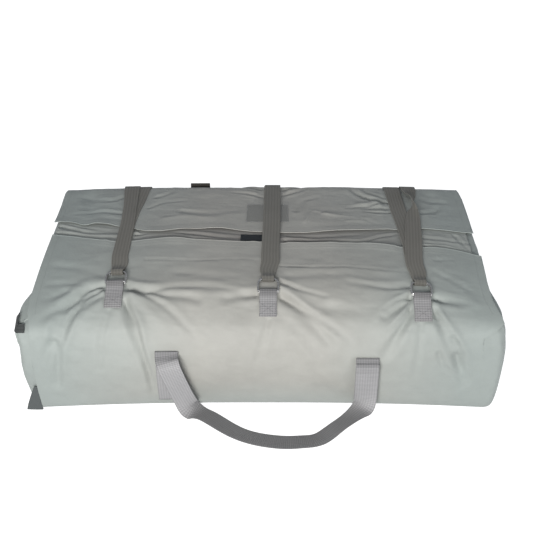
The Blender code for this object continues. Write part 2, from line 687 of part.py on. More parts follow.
def underlap():
    rows = []
    for share in np.linspace(0, 1, UNDERLAP_ROWS + 1):
        row = []
        for x in np.linspace(*UNDERLAP_ENDS, UNDERLAP_COLUMNS + 1):
            low = closure_y(x, 1) - UNDERLAP_TUCK
            high = closure_y(x, 2) + UNDERLAP_TUCK
            s = section(x).s_at(low + share * (high - low))
            row.append(section(x).point(s, -UNDERLAP_DROP))
        rows.append(row)
    return sheet("underlap", rows, UNDERLAP_CLOTH, GREY_CLOTH)


def end_grid(side):
    """Rows of points of one end's cloth, from the front seam round the end to the back seam."""
    seam = section(side * END_SEAM)
    rows = []
    for _, s_front, s_back, drop, height, *reaches, most_radius in END_ROWS:
        reach, swell = reaches[:2] if side > 0 else reaches[2:]
        front = seam.point(s_front, -drop)
        back = seam.point(seam.length - s_back, -drop)
        front_y = front.y
        if side < 0:
            heights, recesses = zip(*LEFT_RECESS)
            front_y += float(np.interp(front.z, heights, recesses))
        front_seam = SEAM + abs(side_x(FRONT_SIDES, min(s_front, SEAM_TOP), 2 if side > 0 else 1))
        back_seam = END_SEAM + SEAM
        radius = min(most_radius, reach - max(front_seam, back_seam) - MM)

        def end_point(y):
            top = seam.top_height(y)
            swollen = ease((FRONT_CORNER[0] - y) / (FRONT_CORNER[0] - FRONT_CORNER[1]))
            share = (y - front_y) / (back.y - front_y)
            bulge = END_BULGE * math.sin(math.pi * share) if height > 0 else 0.0
            z = top + height if height < 0 else height * (top - WALL_UNDER_TOP) / WALL_TOP
            return reach + swell * swollen + bulge, z

        def corner(at_seam, start, inward):
            """From the seam round the corner. inward is the way from the face toward the middle."""
            x_end, _ = end_point(start.y + inward * radius)
            points = [(at_seam + share * (x_end - radius - at_seam), start.y, start.z) for share in (0.0, 0.5)]
            for turn in np.linspace(0, math.pi / 2, 5):
                y = start.y + inward * radius * (1 - math.cos(turn))
                z = start.z + (end_point(y)[1] - start.z) * ease(2 * turn / math.pi)
                points.append((x_end - radius * (1 - math.sin(turn)), y, z))
            return points

        start = Vector((0, front_y, front.z))
        row = corner(front_seam, start, 1)
        low, high = front_y + radius, back.y - radius
        for share in END_COLUMNS:
            y = low + share * (high - low)
            row.append((end_point(y)[0], y, end_point(y)[1]))
        row += corner(back_seam, back, -1)[::-1]
        points = [Vector((side * x, y, max(z, 0.0))) for x, y, z in row]
        rows.append(points if side > 0 else points[::-1])
    return rows


def end_panels():
    grids = {}
    for name, side in (("end_panel_right", 1), ("end_panel_left", -1)):
        grids[side] = end_grid(side)
        sheet(name, grids[side], CLOTH, GREY_CLOTH)
    return grids


def base_panel(grids):
    """A flat cloth that fills the outline of the rims."""
    outline = []
    for side in (1, -1):
        for x in np.linspace(-side * BASE_STRAIGHT, side * BASE_STRAIGHT, 9):
            rim = -RIM_LAP if side > 0 else section(x).length
            outline.append((x, section(x).point(rim).y))
        outline += [(point.x, point.y) for point in grids[side][0][END_TURN_START:-END_TURN_START]]
    form = bmesh.new()
    layers = []
    for z in (0.0, CLOTH):
        inset = [(x - math.copysign(SEAM, x), y - math.copysign(SEAM, y), z) for x, y in outline]
        layers.append([form.verts.new(point) for point in inset])
    for place in range(len(outline)):
        after = (place + 1) % len(outline)
        form.faces.new((layers[0][place], layers[0][after], layers[1][after], layers[1][place]))
    for layer in layers:
        form.faces.new(layer)
    face_outward(form)
    return add_object("base_panel", form, GREY_CLOTH, smooth=False)


def corner_tuck():
    rows = []
    for height, left, y in TUCK_ROWS:
        right = side_x(FRONT_SIDES, height, 1) - SEAM - REST
        row = []
        for share in TUCK_SHARES:
            bow = TUCK_BOW * math.sin(math.pi * share)
            row.append(Vector((left + share * (right - left), y - bow, height)))
        rows.append(row)
    return sheet("corner_tuck", rows, TUCK_CLOTH, DARK_CLOTH)


def patch(name, box, from_edge, lift, thickness, finish, counts):
    """A small sheet that follows the cover, with its outer face at this height over it."""
    left, right, low, high = box
    rows = []
    for s_share in np.linspace(0, 1, counts[1] + 1):
        row = []
        for share in np.linspace(0, 1, counts[0] + 1):
            x = left + share * (right - left)
            s = low + s_share * (high - low)
            if from_edge:
                s += section(x).s_at(closure_y(x, 1)) + HOOK_FROM_EDGE
            row.append(section(x).point(s, lift))
        rows.append(row)
    return sheet(name, rows, thickness, finish)


def along_x(x, s, width=STRAP_WIDTH):
    """Direction across a piece of webbing, level with the cover under it."""
    return (section(x + width / 2).point(s) - section(x - width / 2).point(s)).normalized()


class RingFrame:
    """Where a tab's two rings lie: both flat, one over the other."""

    def __init__(self, x, bar):
        self.origin = section(x).point(bar, LOWER_BAR)
        self.up = (section(x).point(bar + RING_REACH, LOWER_BAR) - self.origin).normalized()
        across = along_x(x, bar + RING_REACH / 2)
        self.across = (across - self.up * across.dot(self.up)).normalized()
        self.facing = self.across.cross(self.up)
        reach = (section(x).point(bar + RING_REACH, LOWER_BAR) - self.origin).length
        self.bow = bar + RING_REACH**2 / reach

    def at(self, out, along, rise):
        return self.origin + self.across * out + self.up * along + self.facing * rise


def tab(name, x, low, bar):
    """Webbing sewn flat, round the two ring bars and back over itself."""
    frame = RingFrame(x, bar)
    stations = []
    for s in np.linspace(low, bar - TAB_NEAR, len(TAB_UPPER_EXTRA)):
        stations.append((section(x).point(s, REST + BELT / 2), along_x(x, s), TAB_WIDTH))
    for along, rise in TAB_TURN:
        stations.append((frame.at(0, along, rise), frame.across, TAB_WIDTH))
    upper = np.linspace(bar - TAB_UPPER_NEAR, low + TAB_UPPER_SHORT, len(TAB_UPPER_EXTRA))
    for s, extra in zip(upper, TAB_UPPER_EXTRA):
        lift = REST + BELT / 2 + LAYER + extra
        stations.append((section(x).point(s, lift), along_x(x, s), TAB_WIDTH))
    return webbing(f"tab_{name}", stations, BELT, PALE_WEBBING)


def ring_outline():
    """The D of a ring: a straight bar, then straight sides into a flattened bow."""
    bar = [(share * RING_HALF_WIDTH, 0.0) for share in (-RING_BAR_HALF, RING_BAR_HALF)]
    right = [(across * RING_HALF_WIDTH, along * RING_REACH) for across, along in RING_SHOULDERS]
    low = RING_BOW_FROM * RING_REACH
    bow = []
    for angle in np.linspace(0, math.pi, RING_BOW_STEPS + 1):
        out = math.copysign(abs(math.cos(angle)) ** RING_SQUARENESS, math.cos(angle))
        bow.append((RING_HALF_WIDTH * out, low + (RING_REACH - low) * math.sin(angle) ** RING_SQUARENESS))
    left = [(-across, along) for across, along in reversed(right)]
    return bar + right + bow + left


def ring(name, x, bar, rise):
    frame = RingFrame(x, bar)
    outline = ring_outline()
    rings = []
    for place, (out, along) in enumerate(outline):
        before, after = outline[place - 1], outline[(place + 1) % len(outline)]
        way = Vector((after[0] - before[0], after[1] - before[1])).normalized()
        outward = frame.across * way.y - frame.up * way.x
        wire = []
        for part in range(WIRE_SIDES):
            turn = math.tau * (part + 0.5) / WIRE_SIDES
            aside = outward * math.cos(turn) + frame.facing * math.sin(turn)
            wire.append(frame.at(out, along, rise) + aside * RING_WIRE / 2)
        rings.append(wire)
    return loft(f"ring_{name}", rings, STEEL, closed=True)


def follow(table, s):
    """x, height, width and turn of a strap at s."""
    table = np.array(table)
    return [float(np.interp(s, table[:, 0], table[:, column])) for column in (1, 2, 3, 4)]


def strap_places(first, last):
    places = [first]
    while places[-1] < last - STRAP_SHORTEST:
        step = STRAP_STEP
        for low, high in STRAP_BENDS:
            if low < places[-1] < high:
                step = STRAP_BEND_STEP
        places.append(min(places[-1] + step, last))
    return places


def strap_station(s, x, lift, width, turn):
    here = section(x).point(s, lift)
    out = (section(x).point(s, lift + MM) - here).normalized()
    angle = math.radians(turn)
    return here, along_x(x, s) * math.cos(angle) + out * math.sin(angle), width


def strap(name, x, bar):
    """Webbing from its sewn end over the top, round the ring bows and back over itself."""
    tables = STRAPS[name]
    frame = RingFrame(x, bar)
    start = frame.bow + STRAP_NEAR[-1][0] + STRAP_STEP
    stations = []
    for s in reversed(strap_places(start, tables["sewn"][-1][0])):
        stations.append(strap_station(s, *follow(tables["sewn"], s)))
    for s, lift, _, width in reversed(STRAP_NEAR):
        stations.append(strap_station(frame.bow + s, x, lift, width, 0))
    for along, rise, width in STRAP_TURN:
        stations.append((frame.at(0, RING_REACH + along, rise), frame.across, width))
    for s, _, lift, width in STRAP_NEAR:
        stations.append(strap_station(frame.bow + s, x, lift, width, 0))
    for s in strap_places(start, tables["free"][-1][0]):
        stations.append(strap_station(s, *follow(tables["free"], s)))
    return webbing(f"strap_{name}", stations, BELT, WEBBING)


def leg(side, x, low, high, inward):
    """Stations up a sewn leg and over its fold. side is 1 at the front and -1 at the back."""
    here = section(x)
    route = [(s, LEG_LIFT) for s in np.linspace(low, high, LEG_STEPS + 1)[:-1]]
    route += [(high + s, lift) for s, lift in LEG_FOLD]
    stations = []
    for s, lift in route:
        s = s if side > 0 else here.length - s
        stations.append((here.point(s, lift), along_x(x, s) * inward, HANDLE_WIDTH))
    return stations


def loop_stations(rows):
    line = smooth_line(rows, LOOP_STEPS)
    return [(Vector(row[:3]), Vector(row[3:]), HANDLE_WIDTH) for row in line]


def front_handle():
    stations = leg(1, *FRONT_LEFT_LEG, 1)
    stations += loop_stations(FRONT_LOOP)
    stations += leg(1, *FRONT_RIGHT_LEG, -1)[::-1]
    return webbing("front_handle", stations, GRIP, PALE_WEBBING)


def back_handle():
    x, low, high = BACK_LEFT_LEG
    stations = leg(-1, x, low, high, 1)[:-len(LEG_FOLD)]
    stations += [(Vector((x, y, z)), (1, 0, 0), HANDLE_WIDTH) for y, z in BACK_STAND]
    stations += loop_stations(BACK_LOOP)
    stations += leg(-1, *BACK_RIGHT_LEG, -1)[::-1]
    return webbing("back_handle", stations, GRIP, WEBBING)


def end_loop(grid):
    """A short band of webbing round the left end's front corner."""
    stations = []
    row = int(END_LOOP_ROW)
    share = END_LOOP_ROW - row
    for place in END_LOOP_COLUMNS:
        column = len(grid[0]) - 1 - place
        here = grid[row][column].lerp(grid[row + 1][column], share)
        up = (grid[row + 1][column] - grid[row - 1][column]).normalized()
        beside = grid[row][column - 1] - grid[row][min(column + 1, len(grid[0]) - 1)]
        out = up.cross(beside).normalized()
        if out.dot(Vector((here.x, here.y, 0))) < 0:
            out = -out
        stations.append((here + out * (END_LOOP_LIFT + GRIP / 2), up, END_LOOP_WIDTH))
    return webbing("end_loop", stations, GRIP, WEBBING)


def clear_scene():
    for made in list(bpy.data.objects):
        bpy.data.objects.remove(made)


def main():
    clear_scene()
    front_panel()
    back_panel()
    underlap()
    grids = end_panels()
    base_panel(grids)
    corner_tuck()
    patch("window_pocket", WINDOW, False, REST + WINDOW_FILM, WINDOW_FILM, FILM, (6, 6))
    patch("hook_patch", HOOK_PATCH, True, HOOK_DEPTH + REST - UNDERLAP_DROP, HOOK_DEPTH, HOOK_TAPE, (4, 2))
    for name, x, low, bar in TABS:
        tab(name, x, low, bar)
        ring(f"{name}_lower", x, bar, 0.0)
        ring(f"{name}_upper", x, bar, RING_STACK)
        strap(name, x, bar)
    front_handle()
    back_handle()
    end_loop(grids[-1])


main()
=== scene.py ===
"""The boat carry cover with its visual pieces, its materials and its stage.

Everything sewn lies on one outer form: a section that runs from the front rim up the front, over the top
and down the back, measured along its own length as s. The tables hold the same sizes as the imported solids.
"""

import math

import bmesh
import bpy
import numpy as np
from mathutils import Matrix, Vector


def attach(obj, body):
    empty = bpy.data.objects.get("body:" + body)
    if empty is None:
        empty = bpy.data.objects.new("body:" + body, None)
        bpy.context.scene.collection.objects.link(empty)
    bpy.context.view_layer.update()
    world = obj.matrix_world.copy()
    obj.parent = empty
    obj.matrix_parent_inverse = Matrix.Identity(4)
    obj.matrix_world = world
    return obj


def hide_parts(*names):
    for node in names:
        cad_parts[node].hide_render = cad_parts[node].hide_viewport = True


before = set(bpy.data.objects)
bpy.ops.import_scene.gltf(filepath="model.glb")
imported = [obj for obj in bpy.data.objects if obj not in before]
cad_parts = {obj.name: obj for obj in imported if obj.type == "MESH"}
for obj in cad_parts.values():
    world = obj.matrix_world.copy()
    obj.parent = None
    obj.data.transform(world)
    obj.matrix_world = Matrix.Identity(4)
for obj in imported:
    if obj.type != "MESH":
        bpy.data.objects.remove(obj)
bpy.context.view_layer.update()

bl_info = {
    "name": "Boat carry cover",
    "version": (1, 0, 0),
    "blender": (4, 5, 0),
    "location": "View3D > Sidebar > Cover",
    "description": "Builds the cloths, webbing, rings, patches and stage of the boat carry cover",
    "category": "Object",
}

MM = 0.001


def metres(rows, plain=0):
    """A table that is written in millimetres, apart from this many last columns."""
    sizes = [len(row) - plain for row in rows]
    return [tuple(v / 1000 for v in row[:size]) + row[size:] for row, size in zip(rows, sizes)]


# Driving sizes
CLOTH = 2.5 * MM  # coated cloth with its coating and hems
SEAM = 0.8 * MM  # between two cloths that meet edge to edge
REST = 0.5 * MM  # under a piece that lies on another
BELT = 1.6 * MM  # thickness of the strap and tab webbing
GRIP = 1.8 * MM  # thickness of the handle webbing
STRAP_WIDTH = 40 * MM
TAB_WIDTH = 38 * MM
HANDLE_WIDTH = 50 * MM
RING_WIRE = 4.0 * MM
RING_HALF_WIDTH = 22 * MM  # to the middle of the wire
RING_REACH = 36 * MM  # from the bar to the bow
LAYER = BELT + REST  # one webbing layer on the next
UNDERLAP_DROP = CLOTH + 0.8 * MM

# The outer section: y and z at the ends of the cover, then y and z at its middle
SECTION = metres([
    (-268, 0, -250, 0), (-279, 0, -262, 0), (-289, 10, -273, 10), (-292, 50, -283, 50),
    (-293, 110, -290, 110), (-292, 165, -281, 165), (-286, 205, -262, 207), (-262, 226, -225, 240),
    (-205, 241, -180, 263), (-110, 256, -100, 272), (0, 264, 0, 276), (100, 265, 100, 277),
    (200, 262, 200, 273), (278, 257, 278, 267), (293, 236, 292, 244), (295, 170, 294, 170),
    (294, 110, 296, 110), (291, 50, 290, 50), (286, 10, 284, 10), (277, 0, 275, 0), (266, 0, 264, 0),
])
SWELL_HALF = 0.50  # the section swells between these x
SWELL_POWER = 2.5
SWELL_SOFTNESS = 0.12
STEPS = 12  # spline steps between two rows of the section
RIM_LAP = 10 * MM  # s counts from this far outside the front rim

# Where the two flaps end on the top. x, y of the front flap's edge, y of the upper flap's edge
CLOSURE = metres([
    (-520, 36, 104), (-400, 26, 84), (-270, 17, 62), (-150, 8, 45), (30, -9, 40), (100, -13, 33),
    (250, -20, 52), (330, -26, 60), (430, -36, 52), (520, -60, 47),
])
UNDERLAP_TUCK = 35 * MM  # how far the underlap runs on under each flap

# The front panel's side edges, along its length. s, x at the left, x at the right
FRONT_SIDES = metres([
    (0, -490, 490), (56, -494, 485), (116, -496.5, 479), (190, -496.5, 478), (203, -496.5, 478),
    (222, -497, 508), (238, -499, 523), (265, -505, 516), (305, -507, 506), (360, -505, 504),
    (460, -502, 506), (560, -500, 508),
])
# The back panel's side edges, measured from the back rim. s, x at the left, x at the right
BACK_SIDES = metres([
    (0, -490, 490), (232, -490, 490), (256, -508, 501), (300, -512, 505), (340, -511, 507.5),
    (400, -509, 507), (520, -508, 505),
])

# The end panels, as rows up the wall and over its top edge to where it is tucked under the flaps.
# s on the front, s on the back, drop there, wall height or drop under the flaps at the end,
# x at the right, swell of the front corner there, the same two at the left, corner radius
END_ROWS = metres([
    (-10, 0, 0, 0, 500, 0, 495, 0, 12), (1.5, 11, 0, 0, 510, 0, 504, 0, 15),
    (16, 25, 0, 10, 519, 0, 512, 0, 18), (56, 65, 0, 50, 517, 8.5, 515, 6, 18),
    (116, 125, 0, 110, 518, 11, 516, 8, 18), (156, 175, 0, 150, 517, 13.5, 515, 9, 18),
    (182, 212, 0, 175, 514, 16, 512, 11, 18), (199, 228, 3.8, -24, 510, 17, 508, 17, 18),
    (218, 244, 5, -12, 506, 15, 505, 21, 16), (240, 262, 6.2, -8.5, 502, 8, 501, 16, 13),
    (260, 282, 7, -7, 494, 0, 494, 4, 11), (284, 306, 7, -7, 472, 0, 472, 0, 10),
])
FRONT_CORNER = (-0.150, -0.220)  # y between which the front corner swells
SEAM_TOP = 0.19  # s above which the end cloth runs on under the flaps
WALL_TOP = 0.186  # height of the end wall at the front corner, which the wall heights are given for
WALL_UNDER_TOP = 0.036
END_BULGE = 7 * MM
END_SEAM = 0.490  # x of the seams on the back face
END_COLUMNS = (0.05, 0.12, 0.22, 0.4, 0.6, 0.8, 0.92)
# How far the left end's lower front corner is drawn back behind the dark tuck. height, recess
LEFT_RECESS = metres([(0, 11), (50, 9), (85, 4), (110, 0)])

# The dark tuck of cloth in the lower left corner: the cloth's inside in the gap, its darkness painted shade.
# height, x at the left, y of its face
TUCK_ROWS = metres([
    (0, -528, -288.5), (16, -523.5, -289), (34, -517, -289.5), (52, -510, -290), (68, -503, -290.5),
])
TUCK_CLOTH = 2.0 * MM
TUCK_BOW = 0.8 * MM
TUCK_BOW_OUT = 0.6  # share of it that the middle stands out toward the front
TUCK_STEPS = 5
TUCK_COLUMNS = 11

# Folds of the front panel, in millimetres: depth (a ridge's is negative), half width, how much of it rises
# beside the fold, then x and s along it
FRONT_FOLDS = [
    (11, 10.4, 0.3, -345, 326, -380, 325, -416, 281, -441, 222, -469, 150),
    (9, 9.6, 0.3, -354, 300, -402, 262, -428, 208, -441, 162, -452, 85),
    (8, 9.6, 0.3, -370, 312, -435, 272, -480, 244), (9, 9.6, 0.3, -300, 322, -232, 304, -140, 288),
    (9, 9.6, 0.3, -296, 282, -272, 208, -246, 119, -230, 50),
    (-5, 11.2, 0.3, -282, 296, -241, 262, -205, 225), (8, 10.4, 0.3, -8, 300, -75, 290),
    (9, 11.2, 0.3, 42, 292, 84, 262, 149, 184), (9, 10.4, 0.3, 328, 292, 268, 246),
    (9, 9.6, 0.3, 328, 262, 299, 216, 269, 160), (7, 9.6, 0.3, 376, 296, 440, 286),
    (9, 9.6, 0.3, 372, 258, 407, 188, 455, 92), (7, 9.6, 0.3, -452, 190, -474, 150, -482, 110),
    (7, 9.6, 0.3, 425, 156, 446, 80), (-4, 16, 0.3, 70, 200, 180, 60),
]
# Folds of the upper flap, with s from the back rim
BACK_FOLDS = [
    (5, 8, 0.3, -6, 310, -70, 280), (5, 8, 0.3, 52, 312, 115, 276),
    (5, 8, 0.3, 305, 372, 262, 350, 225, 300), (5, 8, 0.3, 305, 412, 255, 412),
    (-4, 9.6, 0.3, 300, 392, 240, 388), (4, 17.6, 0.3, -440, 340, -420, 420),
    (4, 17.6, 0.3, 430, 330, 420, 420),
]
FOLD_LEFT_AT_END = 0.35  # share of a fold's depth that is left at its far end
FOOT_FREE = 0.020  # folds die out above this s, so that the foot stays on the floor
FOOT_BLEND = 0.040  # and are full this much further up
CLOSURE_FREE = 0.045  # and this far from a flap's edge, over the underlap
CLOSURE_KEPT = 0.4  # they are gone in this share of it
SIDE_KEPT = 8.8 * MM  # folds die out this far from a side edge, over the tucked end cloth
SIDE_FREE = 0.045  # and are full this much further in
SIDE_CLEAR = 0.012  # folds start this far beyond a piece that is sewn flat
STRAP_FLAT = 0.045  # no ridge rises this near the middle of a strap

# Rows of the big cloths: s up to which, and the step there. Then the step up to the flap's hem
FRONT_ROWS = [(0.026, 2.5 * MM), (0.190, 4 * MM), (0.345, 3 * MM)]
FRONT_STEP = 4.5 * MM
BACK_ROWS = [(0.030, 3 * MM), (0.230, 8 * MM), (0.300, 3 * MM)]
BACK_STEP = 3.6 * MM
FLAP_COLUMNS = 231
FRONT_EDGE_FROM = 0.33  # s from where the rows turn to follow the flap's edge
BACK_EDGE_FROM = 0.30
SEAM_BLEND = 0.004  # over which the front's seam ends under its flap
UNDERLAP_GRID = (81, 301)
SHOWN_BLEND = 0.010  # the underlap's creases begin over this much beside a flap's edge
UNDERLAP_ENDS = (-0.497, 0.488)

# Ring tabs: name, x, s of the lower end, s of the rings' bars
TABS = [
    ("left", -0.322, 0.268, 0.332),
    ("middle", 0.015, 0.246, 0.301),
    ("right", 0.350, 0.237, 0.298),
]
LOWER_BAR = 4.7 * MM  # height of the lower ring over the cloth
RING_STACK = 4.3 * MM
PAST_RING = 10 * MM  # the cloth stays flat this far past the rings
RING_BAR_HALF = 0.86  # straight part of the bar, as a share of the half width
RING_SHOULDERS = ((0.975, 0.05), (1.0, 0.16))  # shares of the half width and of the reach
RING_BOW_FROM = 0.38  # share of the reach from where the sides curve in
RING_SQUARENESS = 2 / 3
RING_BOW_STEPS = 12
# The tab's webbing round the two bars. Along the rings from the bar, and up from the lower bar
TAB_TURN = metres([
    (-5, -3.4), (0, -3.2), (2, -2.7), (3.2, -1.2), (3.4, 2.1), (3.2, 5.5), (2, 7), (0, 7.5), (-3.5, 6.8),
    (-8.5, 3.5),
])
TAB_NEAR = 12 * MM  # where the tab leaves the cloth, from the bar
TAB_UPPER_NEAR = 16 * MM  # and where its upper layer comes down again
TAB_UPPER_SHORT = 3 * MM  # the upper layer ends this far over the lower one
TAB_UPPER_EXTRA = (1.4 * MM, 0.3 * MM, 0.0, 0.0, 0.0, 0.0)  # its height beyond one layer, from the bar down
# The strap's webbing round the two bows. Along the rings from the bow, up from the lower bow, width
STRAP_TURN = metres([
    (4.5, -3.3, 27), (0, -3.3, 26), (-3.2, -3.2, 26), (-4.9, -1.6, 26), (-5.2, 2.1, 26), (-4.9, 5.8, 26),
    (-3.3, 7.5, 26), (0, 7.9, 26.5), (4, 7.3, 27.5), (9, 4, 29),
])
# The strap next to its turn. s from the bow, height of the sewn and of the free layer, width
STRAP_NEAR = metres([(16, 1.4, 6.4, 30), (26, 1.4, 4.4, 34), (40, 1.6, 3.8, 38)])
# Each strap from its rings to its sewn end, then to its free end:
# s, x, height over the cloth, width, turn about its own length in degrees
STRAPS = {
    "left": (
        metres([
            (450, -325, 1.7, 37, 0), (580, -324, 1.4, 33, 0), (640, -321, 1.4, 35, 0),
            (700, -317, 1.4, 40, 0), (790, -311, 2.4, 40, 0), (980, -309, 1.3, 40, 0),
        ], 1),
        metres([
            (450, -325, 3.8, 37, 0), (580, -326, 3.6, 33, 0), (680, -332, 3.7, 34, 0),
            (790, -341, 4.6, 40, 0), (860, -343, 4.2, 40, 0),
        ], 1),
    ),
    "middle": (
        metres([
            (420, 18, 1.8, 40, 0), (530, 20, 1.8, 40, 0), (562, 21, 2.8, 40, 0), (700, 22, 2.8, 40, 0),
            (740, 22, 1.6, 40, 0), (790, 22, 2.4, 40, 0), (980, 22, 1.3, 40, 0),
        ], 1),
        metres([
            (420, 20, 4, 40, 0), (530, 22, 4, 40, 0), (562, 23, 5, 40, 0), (700, 24, 5, 40, 0),
            (740, 24, 3.8, 40, 0), (790, 24, 4.6, 40, 0), (850, 24, 4.2, 40, 0),
        ], 1),
    ),
    "right": (
        metres([
            (420, 346, 1.8, 39, 0), (489, 347, 1.6, 40, 0), (581, 341, 1.5, 40, 0), (640, 336, 1.4, 40, 0),
            (790, 331, 2.4, 40, 0), (980, 329, 1.3, 40, 0),
        ], 1),
        metres([
            (420, 347, 4, 39, 0), (515, 357, 3.8, 40, 0), (600, 366, 3.8, 36, 0), (640, 370, 7.2, 26, 22),
            (655, 372, 10.2, 20, 50), (668, 373, 10.2, 17, 80), (695, 375, 10, 18, 115),
            (712, 375, 9.4, 22, 140), (730, 375, 6.8, 29, 163), (760, 374, 4.6, 38, 180),
            (850, 372, 4.4, 40, 180),
        ], 1),
    ),
}
STRAP_STEP = 26 * MM
STRAP_BEND_STEP = 8 * MM
STRAP_SHORTEST = 4 * MM
STRAP_BENDS = ((0.61, 0.735), (0.740, 0.840))  # s of the twist, and of the turn over the back edge

# Carry handles. The legs are sewn up the cloth, fold over, and the loop falls to the floor.
FRONT_LEFT_LEG = (-0.205, 0.032, 0.164)  # x, s of its foot, s of its fold
FRONT_RIGHT_LEG = (0.231, 0.032, 0.148)
BACK_LEFT_LEG = (-0.166, 0.130, 0.250)
BACK_RIGHT_LEG = (0.215, 0.080, 0.190)
LEG_LIFT = GRIP / 2 + 0.8 * MM
LEG_STEPS = 8
# The fold over at the top of a leg. s from the fold, height over the cloth
LEG_FOLD = metres([(0, 1.5), (4.2, 2.1), (6.2, 4.4), (4.6, 6.8), (-2, 8)])
# The loops, from the left leg's fold to the right one's: x, y, z, and the direction across the webbing
FRONT_LOOP = metres([
    (-203, -304.5, 150, 0.99, 0, 0.1), (-200, -311, 142, 0.97, 0, 0.2),
    (-195.5, -314.5, 128, 0.96, 0, 0.28), (-182.5, -312, 85, 0.96, 0, 0.28),
    (-169, -305, 40, 0.95, 0.05, 0.28), (-159, -301, 16, 0.85, 0.4, 0.18),
    (-140, -307, 7.5, 0.72, 0.66, -0.14), (-114.1, -323, 6.5, 0.66, 0.72, -0.2),
    (-60.4, -367.5, 6.5, 0.54, 0.81, -0.22), (-14.9, -389.9, 5.7, 0.31, 0.93, -0.19),
    (39.5, -400.8, 4.8, 0.05, 0.98, -0.16), (85, -400.5, 5.2, -0.15, 0.97, -0.18),
    (127, -392.1, 6.5, -0.39, 0.89, -0.22), (168.5, -353.8, 9, -0.68, 0.66, -0.32),
    (200, -323.5, 9.5, -0.74, 0.62, -0.26), (224.5, -301, 16, -0.9, 0.4, 0),
    (231, -297.5, 40, -1, 0.05, 0), (231.2, -302, 85, -1, 0, 0), (231.1, -305, 122, -1, 0, 0),
    (231.1, -302.5, 137, -1, 0, 0),
], 3)
BACK_LOOP = metres([
    (-165.5, 308, 247, 1, 0, 0), (-164, 305.5, 225, 1, 0, 0), (-162, 304, 195, 1, 0, 0),
    (-156, 303.5, 130, 1, 0, 0.05), (-143, 306, 60, 0.97, 0, 0.2), (-125, 316, 16, 0.88, -0.36, 0.2),
    (-90, 336, 1.8, 0.6, -0.8, 0), (-40, 362, 3, 0.34, -0.94, -0.06), (20, 378, 5.2, 0.06, -0.98, -0.16),
    (80, 369, 5.2, -0.28, -0.95, -0.16), (130, 341, 4, -0.62, -0.78, -0.06),
    (172, 321, 14, -0.88, -0.42, 0.12), (200, 311, 50, -0.98, -0.05, 0.1), (213, 305, 105, -1, 0, 0),
    (215, 305, 155, -1, 0, 0),
], 3)
BACK_STAND = metres([(298.5, 243), (300.5, 256), (304, 264), (308.5, 261)])
LOOP_STEPS = 3

# Patches. x at the left and right, s at the lower and upper edge
WINDOW = (-0.040, 0.062, 0.578, 0.680)
WINDOW_FILM = 1.0 * MM
HOOK_PATCH = (-0.051, 0.024, -0.002, 0.028)  # s from the front flap's edge
HOOK_DEPTH = 1.5 * MM
HOOK_FROM_EDGE = 4 * MM
WINDOW_GRID = 41
HOOK_GRID = (13, 31)
END_LOOP_COLUMNS = (1, 2, 4, 6, 7)  # along the left end's rows of cloth, round its front corner
END_LOOP_ROW = 8.4
END_LOOP_WIDTH = 20 * MM
END_LOOP_LIFT = 3.5 * MM  # over the rounded corner under it

# Finer places of the visual cloths
FORM_END = 0.535
FORM_STEP_X = 5 * MM
FORM_STEP_S = 2 * MM
PAST_END = 20 * MM
FOLD_STEPS = 6
RIDGE_AWAY = 1.9  # a fold's side ridges lie this many half widths off
WIDTH_VARIES, WIDTH_SIZE = 0.25, 0.06  # a fold's width and depth vary by this share, over this size
DEPTH_VARIES, DEPTH_SIZE = 0.2, 0.05
END_RELIEF = 0.8 * MM  # unevenness of an end's cloth, the tuck and the window's film
TUCK_RELIEF = 0.7 * MM
FILM_RELIEF = 0.5 * MM
CREASE_LEFT_AT_END = 0.25
END_STEPS = 7  # spline steps between two rows or columns of an end
BAND_STEPS = 3  # and between two stations of webbing

# Creases that only the visual cloth has, written as the folds are
FRONT_CREASES = [
    (4.5, 6, 0.5, -292, 316, -220, 279, -170, 233, -132, 192),
    (5, 5, 0.4, -303, 291, -270, 230, -253, 148, -242, 60),
    (5, 8, 0.3, -301, 334, -255, 313, -190, 320, -100, 317, -29, 298),
    (4, 6, 0.5, 37, 335, 87, 312, 140, 294), (5, 7, 0.5, 36, 303, 86, 267, 139, 233, 191, 195),
    (3.5, 12, 0.3, 147, 266, 236, 255), (4.5, 8, 0.3, 328, 330, 277, 323, 196, 336),
    (5, 5, 0.5, 331, 298, 300, 289, 269, 265), (4.5, 5, 0.5, 330, 276, 293, 233, 265, 205),
    (4.5, 5, 0.5, 369, 298, 399, 288), (4.5, 6, 0.5, 369, 268, 410, 209, 445, 142, 460, 76),
    (3.5, 5, 0.4, 384, 165, 399, 132, 442, 92), (3.5, 6, 0.4, 412, 202, 439, 160),
    (4.5, 5, 0.5, -343, 333, -378, 326, -395, 317),
    (5, 5, 0.5, -342, 320, -379, 300, -402, 261, -418, 221, -434, 169),
    (3, 6, 0.4, -441, 188, -440, 118, -451, 71), (3, 8, 0.3, -430, 318, -465, 300),
    (3.5, 6, 0.4, -474, 201, -473, 137), (2.5, 7, 0.4, 15, 241, 2, 184, -20, 120),
    (2.5, 7, 0.4, -330, 262, -345, 190, -350, 100), (2.5, 7, 0.4, 345, 232, 340, 160, 335, 90),
    (2.4, 3.5, 0.3, -265, 421, -160, 414, -62, 420, -10, 412),
    (2.6, 3.5, 0.3, 40, 391, 110, 387, 190, 389, 260, 383, 318, 378),
    (2.5, 9, 0.4, -495, 420, -420, 400, -360, 370), (2, 8, 0.4, -480, 350, -410, 345),
    (2, 7, 0.3, 390, 380, 440, 345, 480, 300), (2, 8, 0.3, 400, 430, 460, 440),
    (2, 12, 0.3, -190, 370, -80, 352, -20, 360), (2, 12, 0.3, 60, 355, 180, 362, 300, 350),
]
